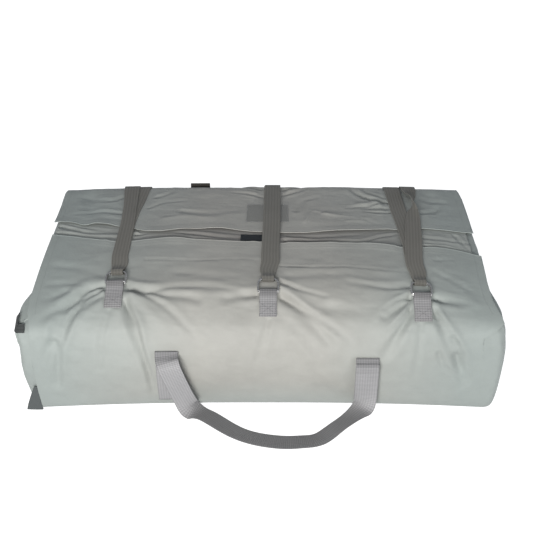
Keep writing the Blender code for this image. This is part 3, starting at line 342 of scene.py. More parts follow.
BACK_CREASES = [
    (4, 6, 0.6, 0, 716, -39, 734, -78, 746), (4, 6, 0.6, 44, 724, 85, 748, 112, 772),
    (3, 5, 0.5, -1, 741, -60, 767), (-2.5, 6, 0, 102, 579, 125, 638, 160, 621, 194, 612),
    (3, 8, 0.5, 82, 640, 98, 690, 135, 720), (4, 4, 0.6, 240, 556, 205, 552, 172, 545),
    (4.5, 6, 0.6, 310, 690, 261, 672, 215, 662), (4.5, 5, 0.6, 316, 638, 285, 634, 250, 640),
    (3.5, 5, 0.5, 284, 563, 249, 598), (5, 7, 0.6, 312, 692, 261, 715, 228, 757),
    (4, 6, 0.5, 306, 720, 270, 745, 250, 775), (-2.5, 6, 0, 150, 624, 221, 612),
    (-2.5, 5, 0, 205, 589, 262, 588), (3, 7, 0.4, 385, 640, 425, 655, 455, 700),
    (2.5, 9, 0.4, 400, 720, 470, 700), (3, 8, 0.5, -345, 636, -400, 650, -470, 640),
    (3, 7, 0.5, -345, 600, -390, 612, -430, 600, -480, 615), (-2.5, 6, 0, -343, 580, -382, 590, -420, 580),
    (3.5, 8, 0.4, -345, 735, -385, 710, -430, 720), (3.5, 6, 0.5, -270, 720, -240, 745, -225, 780),
    (3, 7, 0.4, -285, 660, -250, 690, -200, 700), (-2, 8, 0, -240, 600, -180, 612, -100, 585),
    (2.5, 9, 0.4, -200, 640, -130, 625, -70, 640), (2.5, 5, 0.5, -60, 560, -5, 572),
]
# How far each flap's edge wanders from its straight run. x, change of s
FRONT_WANDER = metres([
    (-520, 0), (-486, 0), (-410, -14), (-337, -26), (-297, -22), (-222, -7), (-144, -9), (-50, -10),
    (5, -7), (45, -9), (120, -5), (200, 2), (277, 2), (330, -4), (382, 4), (455, 7), (490, 2), (520, 0),
])
BACK_WANDER = metres([
    (-520, -12), (-470, -2), (-430, -14), (-400, -4), (-350, -10), (-300, -20), (-270, -26), (-235, -22),
    (-190, -5), (-110, 4), (-50, -6), (-20, -10), (45, -12), (100, -7), (160, -7), (250, -11), (330, -12),
    (370, -1), (430, 0), (470, -4), (520, -8),
])
EDGE_LIFT = 2.2 * MM  # the flaps' edges stand off unevenly by up to this
EDGE_LIFT_REACH = 0.035
STRAP_CLEAR = 4 * MM  # beside a strap, before an edge stands off
STRAP_BLEND = 0.020
STRAP_FLAT_BLEND = 0.012
TAB_CLEAR = 5 * MM
FILM_SHORT = 10 * MM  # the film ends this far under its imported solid
SHOULDER_ROW, BROW_ROW, BACK_BROW_ROW = 6, 8, 13  # rows of the section
EDGE_DRAW = 0.004  # draws the front cloth's columns toward its sides, as a share of its width
NARROW = 0.0003  # share of a narrow last column, which keeps the cloth's shading flat up to a seam

# Hems
VISUAL_CLOTH = 2.0 * MM
HEM_WIDTH = 20 * MM
HEM_STEP = 3 * MM
SIDE_HEM = 0.6  # height of a side's hem, as a share of the edge's
HEM_RISE = 0.5 * MM
HEM_BEAD = 1.4 * MM
HEM_ROLL = 0.9 * MM
BEAD_REACH = 6 * MM  # the rows lie close together this far from an edge
BEAD_STEP = 0.9 * MM
STITCH_AT = 0.85  # share of the hem's width
STITCH_REACH = 1.6 * MM
STITCH_SINK = 0.3 * MM
STITCH_PITCH = 4.5 * MM
THREAD = 0.7 * MM
TUCKED_ROW = 8.5  # row of an end's cloth from where it lies under the flaps
TUCKED_BLEND = 1.5
END_NARROW = 0.08  # share of a narrow first column of an end
END_FREE = 0.12  # share of an end's width over which its creases rise
FACING_UP = -0.65  # an end's cloth stays off the floor where its outer face points up more than this
FACING_BLEND = 0.15
FACING_COLUMNS = 3  # and this many columns beside
# A flap's free sides: s from its rim where they begin, over how much their hem rises, where it is stitched
FRONT_SIDE_FREE = (0.245, 0.040, 0.257)
BACK_SIDE_FREE = (0.250, 0.030, 0.250)
# Creases of the underlap, with s from the front flap's edge
UNDERLAP_FOLDS = [
    (4.5, 5, 0.5, -495, 10, -410, 12, -340, 20), (4, 6, 0.6, -490, 46, -430, 30, -370, 40, -320, 46),
    (3, 5, 0.5, -470, 60, -410, 48, -350, 52), (5, 5, 0.6, -290, 46, -200, 32, -120, 22, -30, 20),
    (3.5, 5, 0.5, -300, 30, -220, 46, -100, 44, -50, 42),
    (5.5, 5, 0.6, 50, 14, 150, 12, 227, 10, 274, 34, 318, 58), (3, 6, 0.5, 60, 36, 150, 34, 230, 42),
    (6, 4, 0.5, 372, 6, 420, 8, 462, 4), (3, 6, 0.5, 380, 45, 440, 40, 490, 48),
    (3, 6, 0.5, 460, 70, 470, 40, 485, 15),
]
# Creases of the ends, with y and z along them
END_FOLDS = {
    "left": [
        (4, 12, 0.4, -225, 205, -130, 150, -60, 80), (3, 14, 0.4, 230, 215, 140, 130, 60, 70),
        (3, 12, 0.4, -120, 215, -40, 120), (2.5, 10, 0.4, -270, 110, -200, 60),
    ],
    "right": [
        (4, 12, 0.4, -235, 200, -140, 130, -80, 60), (3, 14, 0.4, 220, 210, 120, 140, 70, 60),
        (3, 12, 0.4, 20, 220, -30, 110), (2.5, 10, 0.4, 260, 120, 180, 50),
    ],
}
WELD = 1e-6

# Webbing profile: place across, from -1 to 1, and height in half thicknesses
BAND_TOP = np.array([
    (-1.0, 0.0), (-0.985, 0.85), (-0.93, 1.0), (-0.45, 1.0),
    (0.0, 1.0), (0.45, 1.0), (0.93, 1.0), (0.985, 0.85),
])
BAND_PROFILE = np.vstack([BAND_TOP, -BAND_TOP, BAND_TOP[:1]])
RING_SIDES = 14
CORNER_PLACES = 5  # points round a rounded corner of an end
FLOOR_SHADE = 0.46  # webbing is darker where it lies on the floor
FLOOR_SHADE_TOP = 0.030
TAB_SHADE, STRAP_SHADE = 0.35, 0.25  # and in its turn round the rings
LEG_SHADES = (0.34, 0.12)  # and at a handle's fold, and just past it

# Patterns
WEAVE = 1.1 * MM
RIB = 4.0 * MM
WARP = 5.6 * MM
LINE = 7.2 * MM
SELVEDGE = 2.2 * MM
# painted highlight: the cloth's colour is lightened this near its edges and sides
EDGE_HIGHLIGHT_REACH = 2.6 * MM
BOX_LENGTH = 30 * MM  # the cross-stitched box at a strap's end
BOX_EDGE = 3 * MM
# painted cool shade: toward the ends and low down the cloth's colour turns toward its cooler end colour
COOL_FROM = 0.22  # x from where the cloth turns cooler toward the ends
COOL_UNDER = 0.085  # and z under which it does

# Colours
CLOTH_COLOUR = (0.408, 0.400, 0.367)
# the end colours are painted cool shade for the ends and the low front
CLOTH_END_COLOUR = (0.350, 0.385, 0.365)
SHADED_COLOUR = (0.250, 0.238, 0.221)
SHADED_END_COLOUR = (0.365, 0.385, 0.360)
# painted shade: the tuck's colour is the shade in the gap between the front and end cloths
TUCK_SHADE_COLOUR = (0.075, 0.085, 0.085)
# painted shade: the end loop has the colour of webbing in shade
END_LOOP_SHADE_COLOUR = (0.052, 0.056, 0.055)
STRAP_COLOUR = (0.176, 0.168, 0.149)
HANDLE_COLOUR = (0.385, 0.378, 0.382)
TAB_COLOUR = (0.318, 0.310, 0.312)
# painted shade: the back handle has the colour of its shaded side
BACK_HANDLE_SHADE_COLOUR = (0.048, 0.043, 0.037)
STEEL = (0.62, 0.61, 0.60)
FILM = (0.30, 0.30, 0.285)
HOOK = (0.022, 0.026, 0.030)
FLOOR = (0.50, 0.50, 0.50)
WORLD = (0.80, 0.84, 0.90)

# Stage
CAMERA_PLACE = (0.030, -1.926, 1.411)
FLOOR_HALF = 6.0
FLOOR_GLOW = 0.95
LIGHTS = [
    # name, place, target, size, share of the power, colour
    ("key", (-0.5, -2.7, 1.10), (0.0, 0.0, 0.12), (1.4, 0.7), 1.0, (1.0, 0.995, 0.98)),
    ("fill", (2.2, -1.6, 1.2), (0.0, 0.0, 0.15), (0.8, 0.8), 0.12, (0.95, 0.98, 1.0)),
]


def ease(value):
    value = np.clip(value, 0.0, 1.0)
    return value * value * (3 - 2 * value)


def spline_weights(rows, steps):
    """Catmull-Rom weights that turn rows of a table into a smooth line through them."""
    weights = []
    for row in range(rows - 1):
        for step in range(steps):
            t = step / steps
            weight = np.zeros(rows)
            shares = (
                -t + 2 * t**2 - t**3,
                2 - 5 * t**2 + 3 * t**3,
                t + 4 * t**2 - 3 * t**3,
                -(t**2) + t**3,
            )
            for offset, share in zip((-1, 0, 1, 2), shares):
                weight[min(max(row + offset, 0), rows - 1)] += share / 2
            weights.append(weight)
    last = np.zeros(rows)
    last[-1] = 1.0
    return np.array(weights + [last])


def smooth_line(rows, steps):
    rows = np.array(rows, float)
    return np.tensordot(spline_weights(len(rows), steps), rows, 1)


SECTION_WEIGHTS = spline_weights(len(SECTION), STEPS)


def gone_along(points):
    """Length of a line up to each of its points."""
    return np.concatenate([[0.0], np.cumsum(np.linalg.norm(np.diff(points, axis=0), axis=1))])


def unit(vectors):
    return vectors / np.maximum(np.linalg.norm(vectors, axis=-1, keepdims=True), 1e-9)


def steps_between(stretches, start):
    """Places from start through each (end, step)."""
    places = [start]
    for end, step in stretches:
        count = max(round((end - places[-1]) / step), 1)
        places += list(np.linspace(places[-1], end, count + 1)[1:])
    return np.array(places)


class Unevenness:
    """Smooth unevenness over a plane, the same at each run."""

    def __init__(self, seed):
        self.lattice = np.random.RandomState(seed).uniform(-1, 1, (64, 64))

    def at(self, x, y, size):
        x, y = np.broadcast_arrays(np.asarray(x, float) / size, np.asarray(y, float) / size)
        column, row = np.floor(x).astype(int), np.floor(y).astype(int)
        across, up = ease(x - column), ease(y - row)
        low, high = (
            self.lattice[column % 64, (row + step) % 64] * (1 - across)
            + self.lattice[(column + 1) % 64, (row + step) % 64] * across
            for step in (0, 1)
        )
        return low * (1 - up) + high * up


UNEVEN = Unevenness(7)


def table_at(table, places, column):
    table = np.array(table)
    return np.interp(places, table[:, 0], table[:, column])


def section_at(x):
    """y and z down the outer section at x."""
    room = 1 - (abs(x) / SWELL_HALF) ** SWELL_POWER
    swell = (room + math.hypot(room, SWELL_SOFTNESS)) / 2
    at_end, at_middle = np.hsplit(np.array(SECTION), 2)
    return SECTION_WEIGHTS @ (at_end + swell * (at_middle - at_end))


class Form:
    """The outer form of the cover, as a table over x and s that is read between its places."""

    def __init__(self):
        self.x = np.arange(-FORM_END, FORM_END + FORM_STEP_X / 2, FORM_STEP_X)
        lines, places, edges = [], [], ([], [])
        top = slice(BROW_ROW * STEPS, BACK_BROW_ROW * STEPS + 1)
        for x in self.x:
            line = section_at(x)
            line[:, 1] = np.maximum(line[:, 1], 0.0)
            s = gone_along(line) - RIM_LAP
            lines.append(line)
            places.append(s)
            for column, edge in enumerate(edges, 1):
                edge.append(np.interp(table_at(CLOSURE, x, column), line[top, 0], s[top]))
        self.length = np.array([s[-1] for s in places])
        self.front_edge, self.back_edge = np.array(edges)
        self.s = np.arange(-RIM_LAP, self.length.max() + PAST_END, FORM_STEP_S)
        self.table = np.zeros((len(self.x), len(self.s), 4))
        for column, (line, s) in enumerate(zip(lines, places)):
            last = line[-1] + (line[-1] - line[-2]) / (s[-1] - s[-2]) * PAST_END * 2
            line, s = np.vstack([line, last]), np.append(s, s[-1] + PAST_END * 2)
            values = np.hstack([line, np.gradient(line, s, axis=0)])
            for axis, value in enumerate(values.T):
                self.table[column, :, axis] = np.interp(self.s, s, value)

    def at(self, x, s, lift=0.0):
        """Points of the form at x and s, this far over it."""
        x, s, lift = np.broadcast_arrays(*(np.asarray(value, float) for value in (x, s, lift)))
        column = np.clip((x - self.x[0]) / FORM_STEP_X, 0, len(self.x) - 1.001)
        row = np.clip((s - self.s[0]) / FORM_STEP_S, 0, len(self.s) - 1.001)
        i, j = column.astype(int), row.astype(int)
        u, v = (column - i)[..., None], (row - j)[..., None]
        low, high = (self.table[i, j + step] * (1 - u) + self.table[i + 1, j + step] * u for step in (0, 1))
        values = low * (1 - v) + high * v
        along = unit(values[..., 2:])
        y, z = values[..., 0] - lift * along[..., 1], values[..., 1] + lift * along[..., 0]
        return np.stack([x, y, z], -1)

    def one(self, x, s, lift=0.0):
        return Vector(self.at(x, s, lift).tolist())

    def edge(self, x, which):
        """s of a flap's edge."""
        straight, wander = {
            "front": (self.front_edge, FRONT_WANDER),
            "back": (self.back_edge, BACK_WANDER),
        }[which]
        return np.interp(x, self.x, straight) + np.interp(x, *smooth_line(wander, FOLD_STEPS).T)

    def end_of(self, x):
        return np.interp(x, self.x, self.length)


COVER = Form()


def nearest(x, s, line):
    """Distance of each place from a line, and the share of the line where its nearest point is."""
    before = gone_along(line)
    gaps, along = np.full(x.shape, np.inf), np.zeros(x.shape)
    for start, run, gone in zip(line, np.diff(line, axis=0), before):
        size = math.hypot(*run)
        share = np.clip(((x - start[0]) * run[0] + (s - start[1]) * run[1]) / size**2, 0, 1)
        gap = np.hypot(x - start[0] - share * run[0], s - start[1] - share * run[1])
        along = np.where(gap < gaps, (gone + share * size) / before[-1], along)
        gaps = np.minimum(gap, gaps)
    return gaps, along


def sunk(x, s, folds, left_at_end=CREASE_LEFT_AT_END):
    """How deep soft folds sink the cloth. A fold's last values are its places, in pairs."""
    depth = np.zeros(x.shape)
    for deep, half_width, ridge, *places in folds:
        gap, along = nearest(x, s, smooth_line(np.reshape(places, (-1, 2)) * MM, FOLD_STEPS))
        width = half_width * MM * (1 + WIDTH_VARIES * UNEVEN.at(x + 3, s, WIDTH_SIZE))
        fade = (1 - (1 - left_at_end) * along) * (1 + DEPTH_VARIES * UNEVEN.at(x, s + 5, DEPTH_SIZE))
        sides = np.exp(-((gap / width - RIDGE_AWAY) ** 2))
        depth += deep * MM * fade * (np.exp(-((gap / width) ** 2)) - ridge * sides)
    return depth


def clear_of(x, s, box, reach=SIDE_CLEAR):
    """0 on a piece that is sewn flat, rising to 1 beside it."""
    left, right, low, high = box
    aside = np.maximum(np.maximum(left - x, x - right), 0.0)
    along = np.maximum(np.maximum(low - s, s - high), 0.0)
    return ease(np.hypot(aside, along) / reach)


def hem(away):
    """Height of a stitched hem over the cloth, by the distance from the edge."""
    band = HEM_RISE * ease((HEM_WIDTH + HEM_STEP - away) / HEM_STEP)
    roll = HEM_ROLL * np.sqrt(np.clip(1 - ((away - HEM_BEAD) / HEM_BEAD) ** 2, 0, 1))
    seam = STITCH_SINK * np.exp(-(((away - HEM_WIDTH * STITCH_AT) / STITCH_REACH) ** 2))
    return band + roll - seam


def uv_of(form, layer, values, columns, rows):
    """Gives a grid's loops their places in a map, from a table of rows and columns."""
    for face in form.faces:
        for loop in face.loops:
            loop[layer].uv = values[rows[loop.vert.index], columns[loop.vert.index]]


def linked(name, data):
    """A new object in the scene."""
    made = bpy.data.objects.new(name, data)
    bpy.context.scene.collection.objects.link(made)
    return made


def mesh_of(form, name, kind):
    mesh = bpy.data.meshes.new(name)
    form.to_mesh(mesh)
    form.free()
    mesh.materials.append(finish_of(kind))
    return mesh


def grid_piece(name, points, kind, maps=(), closed=False, capped=False):
    """A mesh of rows and columns of points, made from a grid whose vertices are put in their places."""
    count_rows, count_columns = points.shape[:2]
    form = bmesh.new()
    bmesh.ops.create_grid(form, x_segments=count_columns - 1, y_segments=count_rows - 1, size=0.5)
    form.verts.index_update()
    flat = np.array([vert.co[:2] for vert in form.verts]) + 0.5
    columns = np.rint(flat[:, 0] * (count_columns - 1)).astype(int)
    rows = np.rint(flat[:, 1] * (count_rows - 1)).astype(int)
    for vert, place in zip(form.verts, points[rows, columns].tolist()):
        vert.co = place
    for map_name, values in maps:
        uv_of(form, form.loops.layers.uv.new(map_name), values, columns, rows)
    if closed:
        bmesh.ops.remove_doubles(form, verts=form.verts, dist=WELD)
    if capped:
        bmesh.ops.holes_fill(form, edges=[edge for edge in form.edges if edge.is_boundary], sides=0)
        bmesh.ops.recalc_face_normals(form, faces=form.faces)
    mesh = mesh_of(form, name, kind)
    mesh.shade_smooth()
    piece = linked(name, mesh)
    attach(piece, "root")
    return piece


def cloth_piece(name, node, points, kind, maps, thickness=VISUAL_CLOTH):
    """A sheet of cloth whose outer face passes through the points."""
    piece = grid_piece(name, points, kind, maps)
    solid = piece.modifiers.new("thickness", "SOLIDIFY")
    solid.thickness = thickness
    solid.offset = -1
    return put_for(piece, node)


def cloth_maps(x, s, from_side=1.0, from_edge=1.0):
    """A cloth's maps: the places on it, and how far they are from its side and its edge."""
    away = np.broadcast_arrays(from_side, from_edge, x)[:2]
    return [("cloth", np.stack([x, s], -1)), ("hem", np.stack(away, -1))]


def put_for(piece, node):
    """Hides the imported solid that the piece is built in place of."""
    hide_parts(node)
    return piece


# Shaders


class Value:
    """A shader socket that sums are written with."""

    def __init__(self, tree, socket):
        self.tree, self.socket = tree, socket

    def math(self, operation, *others):
        node = self.tree.nodes.new("ShaderNodeMath")
        node.operation = operation
        for socket, other in zip(node.inputs, (self, *others)):
            feed(self.tree, socket, other)
        return Value(self.tree, node.outputs[0])

    def __add__(self, other):
        return self.math("ADD", other)

    def __sub__(self, other):
        return self.math("SUBTRACT", other)

    def __mul__(self, other):
        return self.math("MULTIPLY", other)

    def __rsub__(self, other):
        return self * -1.0 + other

    __radd__ = __add__
    __rmul__ = __mul__

    def most(self, other):
        return self.math("MAXIMUM", other)

    def clamped(self):
        return self.most(0.0).math("MINIMUM", 1.0)


def feed(tree, socket, value):
    if isinstance(value, Value):
        tree.links.new(value.socket, socket)
    else:
        socket.default_value = value


class Finish:
    """A material that is put together from nodes."""

    def __init__(self, name, roughness, metallic=0.0, **constants):
        self.material = bpy.data.materials.new(name)
        self.material.use_nodes = True
        self.tree = self.material.node_tree
        self.shader = self.tree.nodes["Principled BSDF"]
        constants.update(Roughness=roughness, Metallic=metallic)
        for socket, value in constants.items():
            self.shader.inputs[socket.replace("_", " ")].default_value = value
        self.place = self.node("ShaderNodeTexCoord", "Object")

    def node(self, kind, output=0, settings=(), **inputs):
        made = self.tree.nodes.new(kind)
        for key, value in dict(settings).items():
            setattr(made, key, value)
        for key, value in inputs.items():
            feed(self.tree, made.inputs[key.replace("_", " ")], value)
        return Value(self.tree, made.outputs[output])

    def split(self, value):
        """The two or three values of a place."""
        node = self.node("ShaderNodeSeparateXYZ", Vector=value).socket.node
        return [Value(self.tree, output) for output in node.outputs]

    def map(self, name):
        """The two values of one of the piece's maps."""
        return self.split(self.node("ShaderNodeUVMap", settings={"uv_map": name}))[:2]

    def noise(self, scale, detail=2.0, roughness=0.5):
        inputs = {"Scale": scale, "Detail": detail, "Roughness": roughness}
        return self.node("ShaderNodeTexNoise", "Fac", Vector=self.place, **inputs)

    def line(self, value, at, half_width):
        """1 on a line where the value is at a place, and 0 beside it."""
        return 1 - (value - at).math("ABSOLUTE").math("DIVIDE", half_width).math("MINIMUM", 1.0)

    def ribs(self, value, pitch):
        return (value * (math.tau / pitch)).math("SINE")

    def colour(self, colour, strength, other=None, share=0.0):
        """The colour, made lighter or darker by a strength that varies, and toward another by a share."""
        base = self.node("ShaderNodeRGB")
        base.socket.default_value = (*colour, 1.0)
        if other:
            base = self.node("ShaderNodeMixRGB", Fac=share, Color1=base, Color2=(*other, 1.0))
        scale = {"operation": "SCALE"}
        self.set("Base Color", self.node("ShaderNodeVectorMath", settings=scale, Vector=base, Scale=strength))

    def bump(self, height, distance):
        self.set("Normal", self.node("ShaderNodeBump", Strength=1.0, Distance=distance, Height=height))

    def set(self, socket, value):
        feed(self.tree, self.shader.inputs[socket], value)


def stitches(finish, away, along, at):
    """A row of stitches at a distance from an edge."""
    return finish.line(away, at, THREAD) * (finish.ribs(along, STITCH_PITCH) * 3.0 + 1.5).clamped()


def cloth_finish(name, colour, end_colour=None, sheen=0.15):
    """Coated cloth with a fine weave, soft creases and stitched hems, edges lightened by a painted highlight,
    and painted cool shade toward the ends and low down.
    """
    finish = Finish(name, 0.55, Sheen_Weight=sheen, Sheen_Roughness=0.5, Specular_IOR_Level=0.45)
    across, along = finish.map("cloth")
    from_side, from_edge = finish.map("hem")
    patches, mottle = finish.noise(5.0, 3.0), finish.noise(38.0, 3.0, 0.6)
    creases = finish.noise(90.0, 4.0, 0.65)
    weave = finish.ribs(across, WEAVE) * finish.ribs(along, WEAVE)
    seam = HEM_WIDTH * STITCH_AT
    thread = stitches(finish, from_side, along, seam).most(stitches(finish, from_edge, across, seam))
    # painted highlight along the flaps' edges, and half as strong along their sides
    painted_edge_highlight = finish.line(from_edge, 0.0, EDGE_HIGHLIGHT_REACH).most(finish.line(from_side, 0.0, EDGE_HIGHLIGHT_REACH) * 0.5)
    strength = 0.80 + patches * 0.22 + mottle * 0.16 + weave * 0.012 + painted_edge_highlight * 0.16 - thread * 0.22
    x, _, z = finish.split(finish.place)
    # painted cool shade toward the ends and low down
    out = x.math("ABSOLUTE") - COOL_FROM + patches * 0.16
    cool = (out * 3.2).most((COOL_UNDER - z) * 9.0).clamped()
    finish.colour(colour, strength, end_colour, cool)
    finish.set("Roughness", 0.48 + mottle * 0.14)
    finish.bump(creases * 0.5 + mottle * 0.8 + weave * 0.05 - thread * 0.5, 0.9 * MM)
    return finish.material


def webbing_finish(name, colour, ribbed, sheen=0.15):
    """Woven webbing with ribs across or lines along it, selvedges, and stitching at its ends."""
    finish = Finish(name, 0.8, Sheen_Weight=sheen, Sheen_Roughness=0.45, Specular_IOR_Level=0.3)
    across, along = finish.map("cloth")
    from_side, from_end = finish.map("hem")
    shade, _ = finish.map("shade")
    fibres, patches = finish.noise(420.0, 2.0, 0.6), finish.noise(16.0)
    ribs, lines = finish.ribs(along, RIB), finish.ribs(across, LINE)
    selvedge = finish.line(from_side, 0.0, SELVEDGE)
    inside = finish.line(from_end, BOX_LENGTH / 2, BOX_LENGTH).math("GREATER_THAN", 0.6)
    thread = stitches(finish, from_side, along, BOX_EDGE) * inside
    for at in (BOX_EDGE, BOX_LENGTH - BOX_EDGE):
        thread = thread.most(stitches(finish, from_end, across, at))
    for slope in (0.75, -0.75):
        cross = from_end - BOX_LENGTH / 2 - across * slope
        thread = thread.most(finish.line(cross, 0.0, THREAD * 1.3) * inside)
    if ribbed:
        strength = 0.80 + patches * 0.22 + ribs * 0.11 + finish.ribs(across, WARP) * 0.09 + fibres * 0.14
        strength = strength - selvedge * 0.16 - thread * 0.36
        finish.bump(ribs * 0.6 + fibres * 0.5 - thread * 0.6, 0.5 * MM)
    else:
        strength = 0.84 + patches * 0.24 + lines * 0.09 + ribs * 0.04 + fibres * 0.16
        strength = strength + selvedge * 0.22 - thread * 0.2
        finish.bump(lines * 0.6 + fibres * 0.5 - thread * 0.5, 0.4 * MM)
    finish.colour(colour, strength * (1 - shade))
    return finish.material


def steel_finish(name):
    finish = Finish(name, 0.14, 1.0)
    scratches = finish.noise(300.0, 3.0)
    finish.colour(STEEL, 0.8 + finish.noise(60.0) * 0.4)
    finish.set("Roughness", 0.16 + scratches * 0.2)
    finish.bump(scratches, 0.05 * MM)
    return finish.material


def film_finish(name):
    """Clear film over a card pocket, with a welded rim."""
    finish = Finish(name, 0.12, Specular_IOR_Level=0.6, Coat_Weight=0.5, Coat_Roughness=0.08)
    from_side, from_edge = finish.map("hem")
    rim = finish.line(from_side, 1 * MM, 2 * MM).most(finish.line(from_edge, 1 * MM, 2 * MM))
    finish.colour(FILM, 0.8 + finish.noise(30.0) * 0.3 + rim * 0.8)
    finish.bump(finish.noise(45.0) + rim * 0.3, 1.5 * MM)
    finish.set("Alpha", (0.20 + rim * 0.45).math("MINIMUM", 1.0))
    return finish.material


def hook_finish(name):
    finish = Finish(name, 0.95)
    hooks = finish.noise(900.0, 2.0, 0.7)
    finish.colour(HOOK, 0.6 + hooks * 0.8)
    finish.bump(hooks, 0.6 * MM)
    return finish.material


def base_finish(name):
    """The base's cloth, which has no map of its own."""
    finish = Finish(name, 0.6, Sheen_Weight=0.15)
    mottle = finish.noise(38.0, 3.0, 0.6)
    finish.colour(CLOTH_COLOUR, 0.9 + mottle * 0.2)
    finish.bump(mottle + finish.noise(600.0) * 0.3, 0.6 * MM)
    return finish.material


def floor_finish(name):
    finish = Finish(name, 0.7, Emission_Strength=FLOOR_GLOW, Emission_Color=(1.0, 1.0, 1.0, 1.0))
    finish.colour(FLOOR, 0.98 + finish.noise(3.0) * 0.04)
    return finish.material


# What each kind of piece is finished with: its maker, the material's name, and the maker's values
MAKERS = {
    "cloth": (cloth_finish, "grey_coated_cloth", CLOTH_COLOUR, CLOTH_END_COLOUR),
    "shaded": (cloth_finish, "shaded_coated_cloth", SHADED_COLOUR, SHADED_END_COLOUR),
    # the tuck's cloth takes painted shade for its colour
    "tuck": (cloth_finish, "dark_lining_cloth", TUCK_SHADE_COLOUR, None, 0.0),
    # the end loop's webbing takes painted shade for its colour
    "dark": (webbing_finish, "dark_webbing", END_LOOP_SHADE_COLOUR, False, 0.0),
    "strap": (webbing_finish, "strap_webbing", STRAP_COLOUR, False),
    "handle": (webbing_finish, "pale_webbing", HANDLE_COLOUR, True),
    "tab": (webbing_finish, "tab_webbing", TAB_COLOUR, True),
    # the back handle's webbing takes painted shade for its colour
    "back": (webbing_finish, "back_handle_webbing", BACK_HANDLE_SHADE_COLOUR, True, 0.0),
    "steel": (steel_finish, "ring_steel"),
    "film": (film_finish, "clear_film"),
    "hook": (hook_finish, "hook_tape"),
    "base": (base_finish, "base_cloth_under"),
    "floor": (floor_finish, "pale_floor"),
}
FINISHES = {}


def finish_of(kind):
    """Each finish is made once and shared by the pieces that have it."""
    if kind not in FINISHES:
        maker, *values = MAKERS[kind]
        FINISHES[kind] = maker(*values)
    return FINISHES[kind]


# Cloths


def small_relief(x, s):
    """Shallow unevenness all over the cloth, longer along it than across."""
    wide = 1.4 * UNEVEN.at(x, s * 1.3, 0.095) + 0.9 * UNEVEN.at(x + 9, s * 1.8, 0.040)
    return MM * (wide + 0.35 * UNEVEN.at(x + s, s * 2.2, 0.016))


def edge_lift(x, s, away, seed):
    """How far a flap's edge stands off, which is nothing under the straps."""
    lift = EDGE_LIFT * ease(1 - away / EDGE_LIFT_REACH) * ease(0.5 + UNEVEN.at(x + seed, 0 * x, 0.050))
    for parts in STRAPS.values():
        for rows in parts:
            aside = np.abs(x - table_at(rows, s, 1)) - STRAP_WIDTH / 2
            lift = lift * ease((aside - STRAP_CLEAR) / STRAP_BLEND)
    return lift


def flap_rows(rows, step, start, middle):
    """Places of a big cloth's rows: its own ones, then those of its flap up to the edge."""
    hem_from = middle - HEM_WIDTH - HEM_STEP
    rows = [*rows, (hem_from, step), (middle - BEAD_REACH, HEM_STEP), (middle, BEAD_STEP)]
    return steps_between(rows, start)


def big_cloth(name, node, x, s, sides, depth, from_rim, away, side_free, seed):
    """A cloth with its flap: folds that fade toward its edges, hems, and an edge that stands off."""
    side = np.minimum(x - sides[0], sides[1] - x)
    depth = depth * ease((from_rim - FOOT_FREE) / FOOT_BLEND) * ease(away / CLOSURE_FREE - CLOSURE_KEPT)
    depth = depth * ease((side - SIDE_KEPT) / SIDE_FREE)
    free_from, free_over, stitched_from = side_free
    free = ease((from_rim - free_from) / free_over)
    lift = -depth + hem(away) + hem(side) * free * SIDE_HEM + edge_lift(x, s, away, seed)
    maps = cloth_maps(x, s, np.where(from_rim > stitched_from, side, 1.0), away)
    return cloth_piece(name, node, COVER.at(x, s, lift), "cloth", maps)


def front_cloth():
    middle = float(COVER.edge(0.0, "front"))
    share = np.linspace(0, 1, FLAP_COLUMNS)
    share = share - EDGE_DRAW * np.sin(math.tau * share)
    share = np.concatenate([[0.0, NARROW], share[1:-1], [1 - NARROW, 1.0]])
    places = flap_rows(FRONT_ROWS, FRONT_STEP, -RIM_LAP, middle)
    place, share = np.meshgrid(places, share, indexing="ij")
    left, right = (table_at(FRONT_SIDES, place, column) for column in (1, 2))
    sewn = ease((SEAM_TOP - place) / SEAM_BLEND) * SEAM
    x = left - sewn + share * (right - left + 2 * sewn)
    edge = COVER.edge(x, "front")
    s = place + ease((place - FRONT_EDGE_FROM) / (middle - FRONT_EDGE_FROM)) * (edge - middle)
    depth = sunk(x, s, FRONT_FOLDS, FOLD_LEFT_AT_END) + sunk(x, s, FRONT_CREASES) + small_relief(x, s)
    for _, x_tab, low, bar in TABS:
        box = (x_tab - TAB_WIDTH / 2, x_tab + TAB_WIDTH / 2, low, bar + RING_REACH + PAST_RING)
        depth *= clear_of(x, s, box, TAB_CLEAR)
    for x_leg, low, high in (FRONT_LEFT_LEG, FRONT_RIGHT_LEG):
        depth *= clear_of(x, s, (x_leg - HANDLE_WIDTH / 2, x_leg + HANDLE_WIDTH / 2, low, high))
    away, sides = edge - s, (left, right)
    piece = big_cloth("front_cloth", "front_panel", x, s, sides, depth, s, away, FRONT_SIDE_FREE, 3)


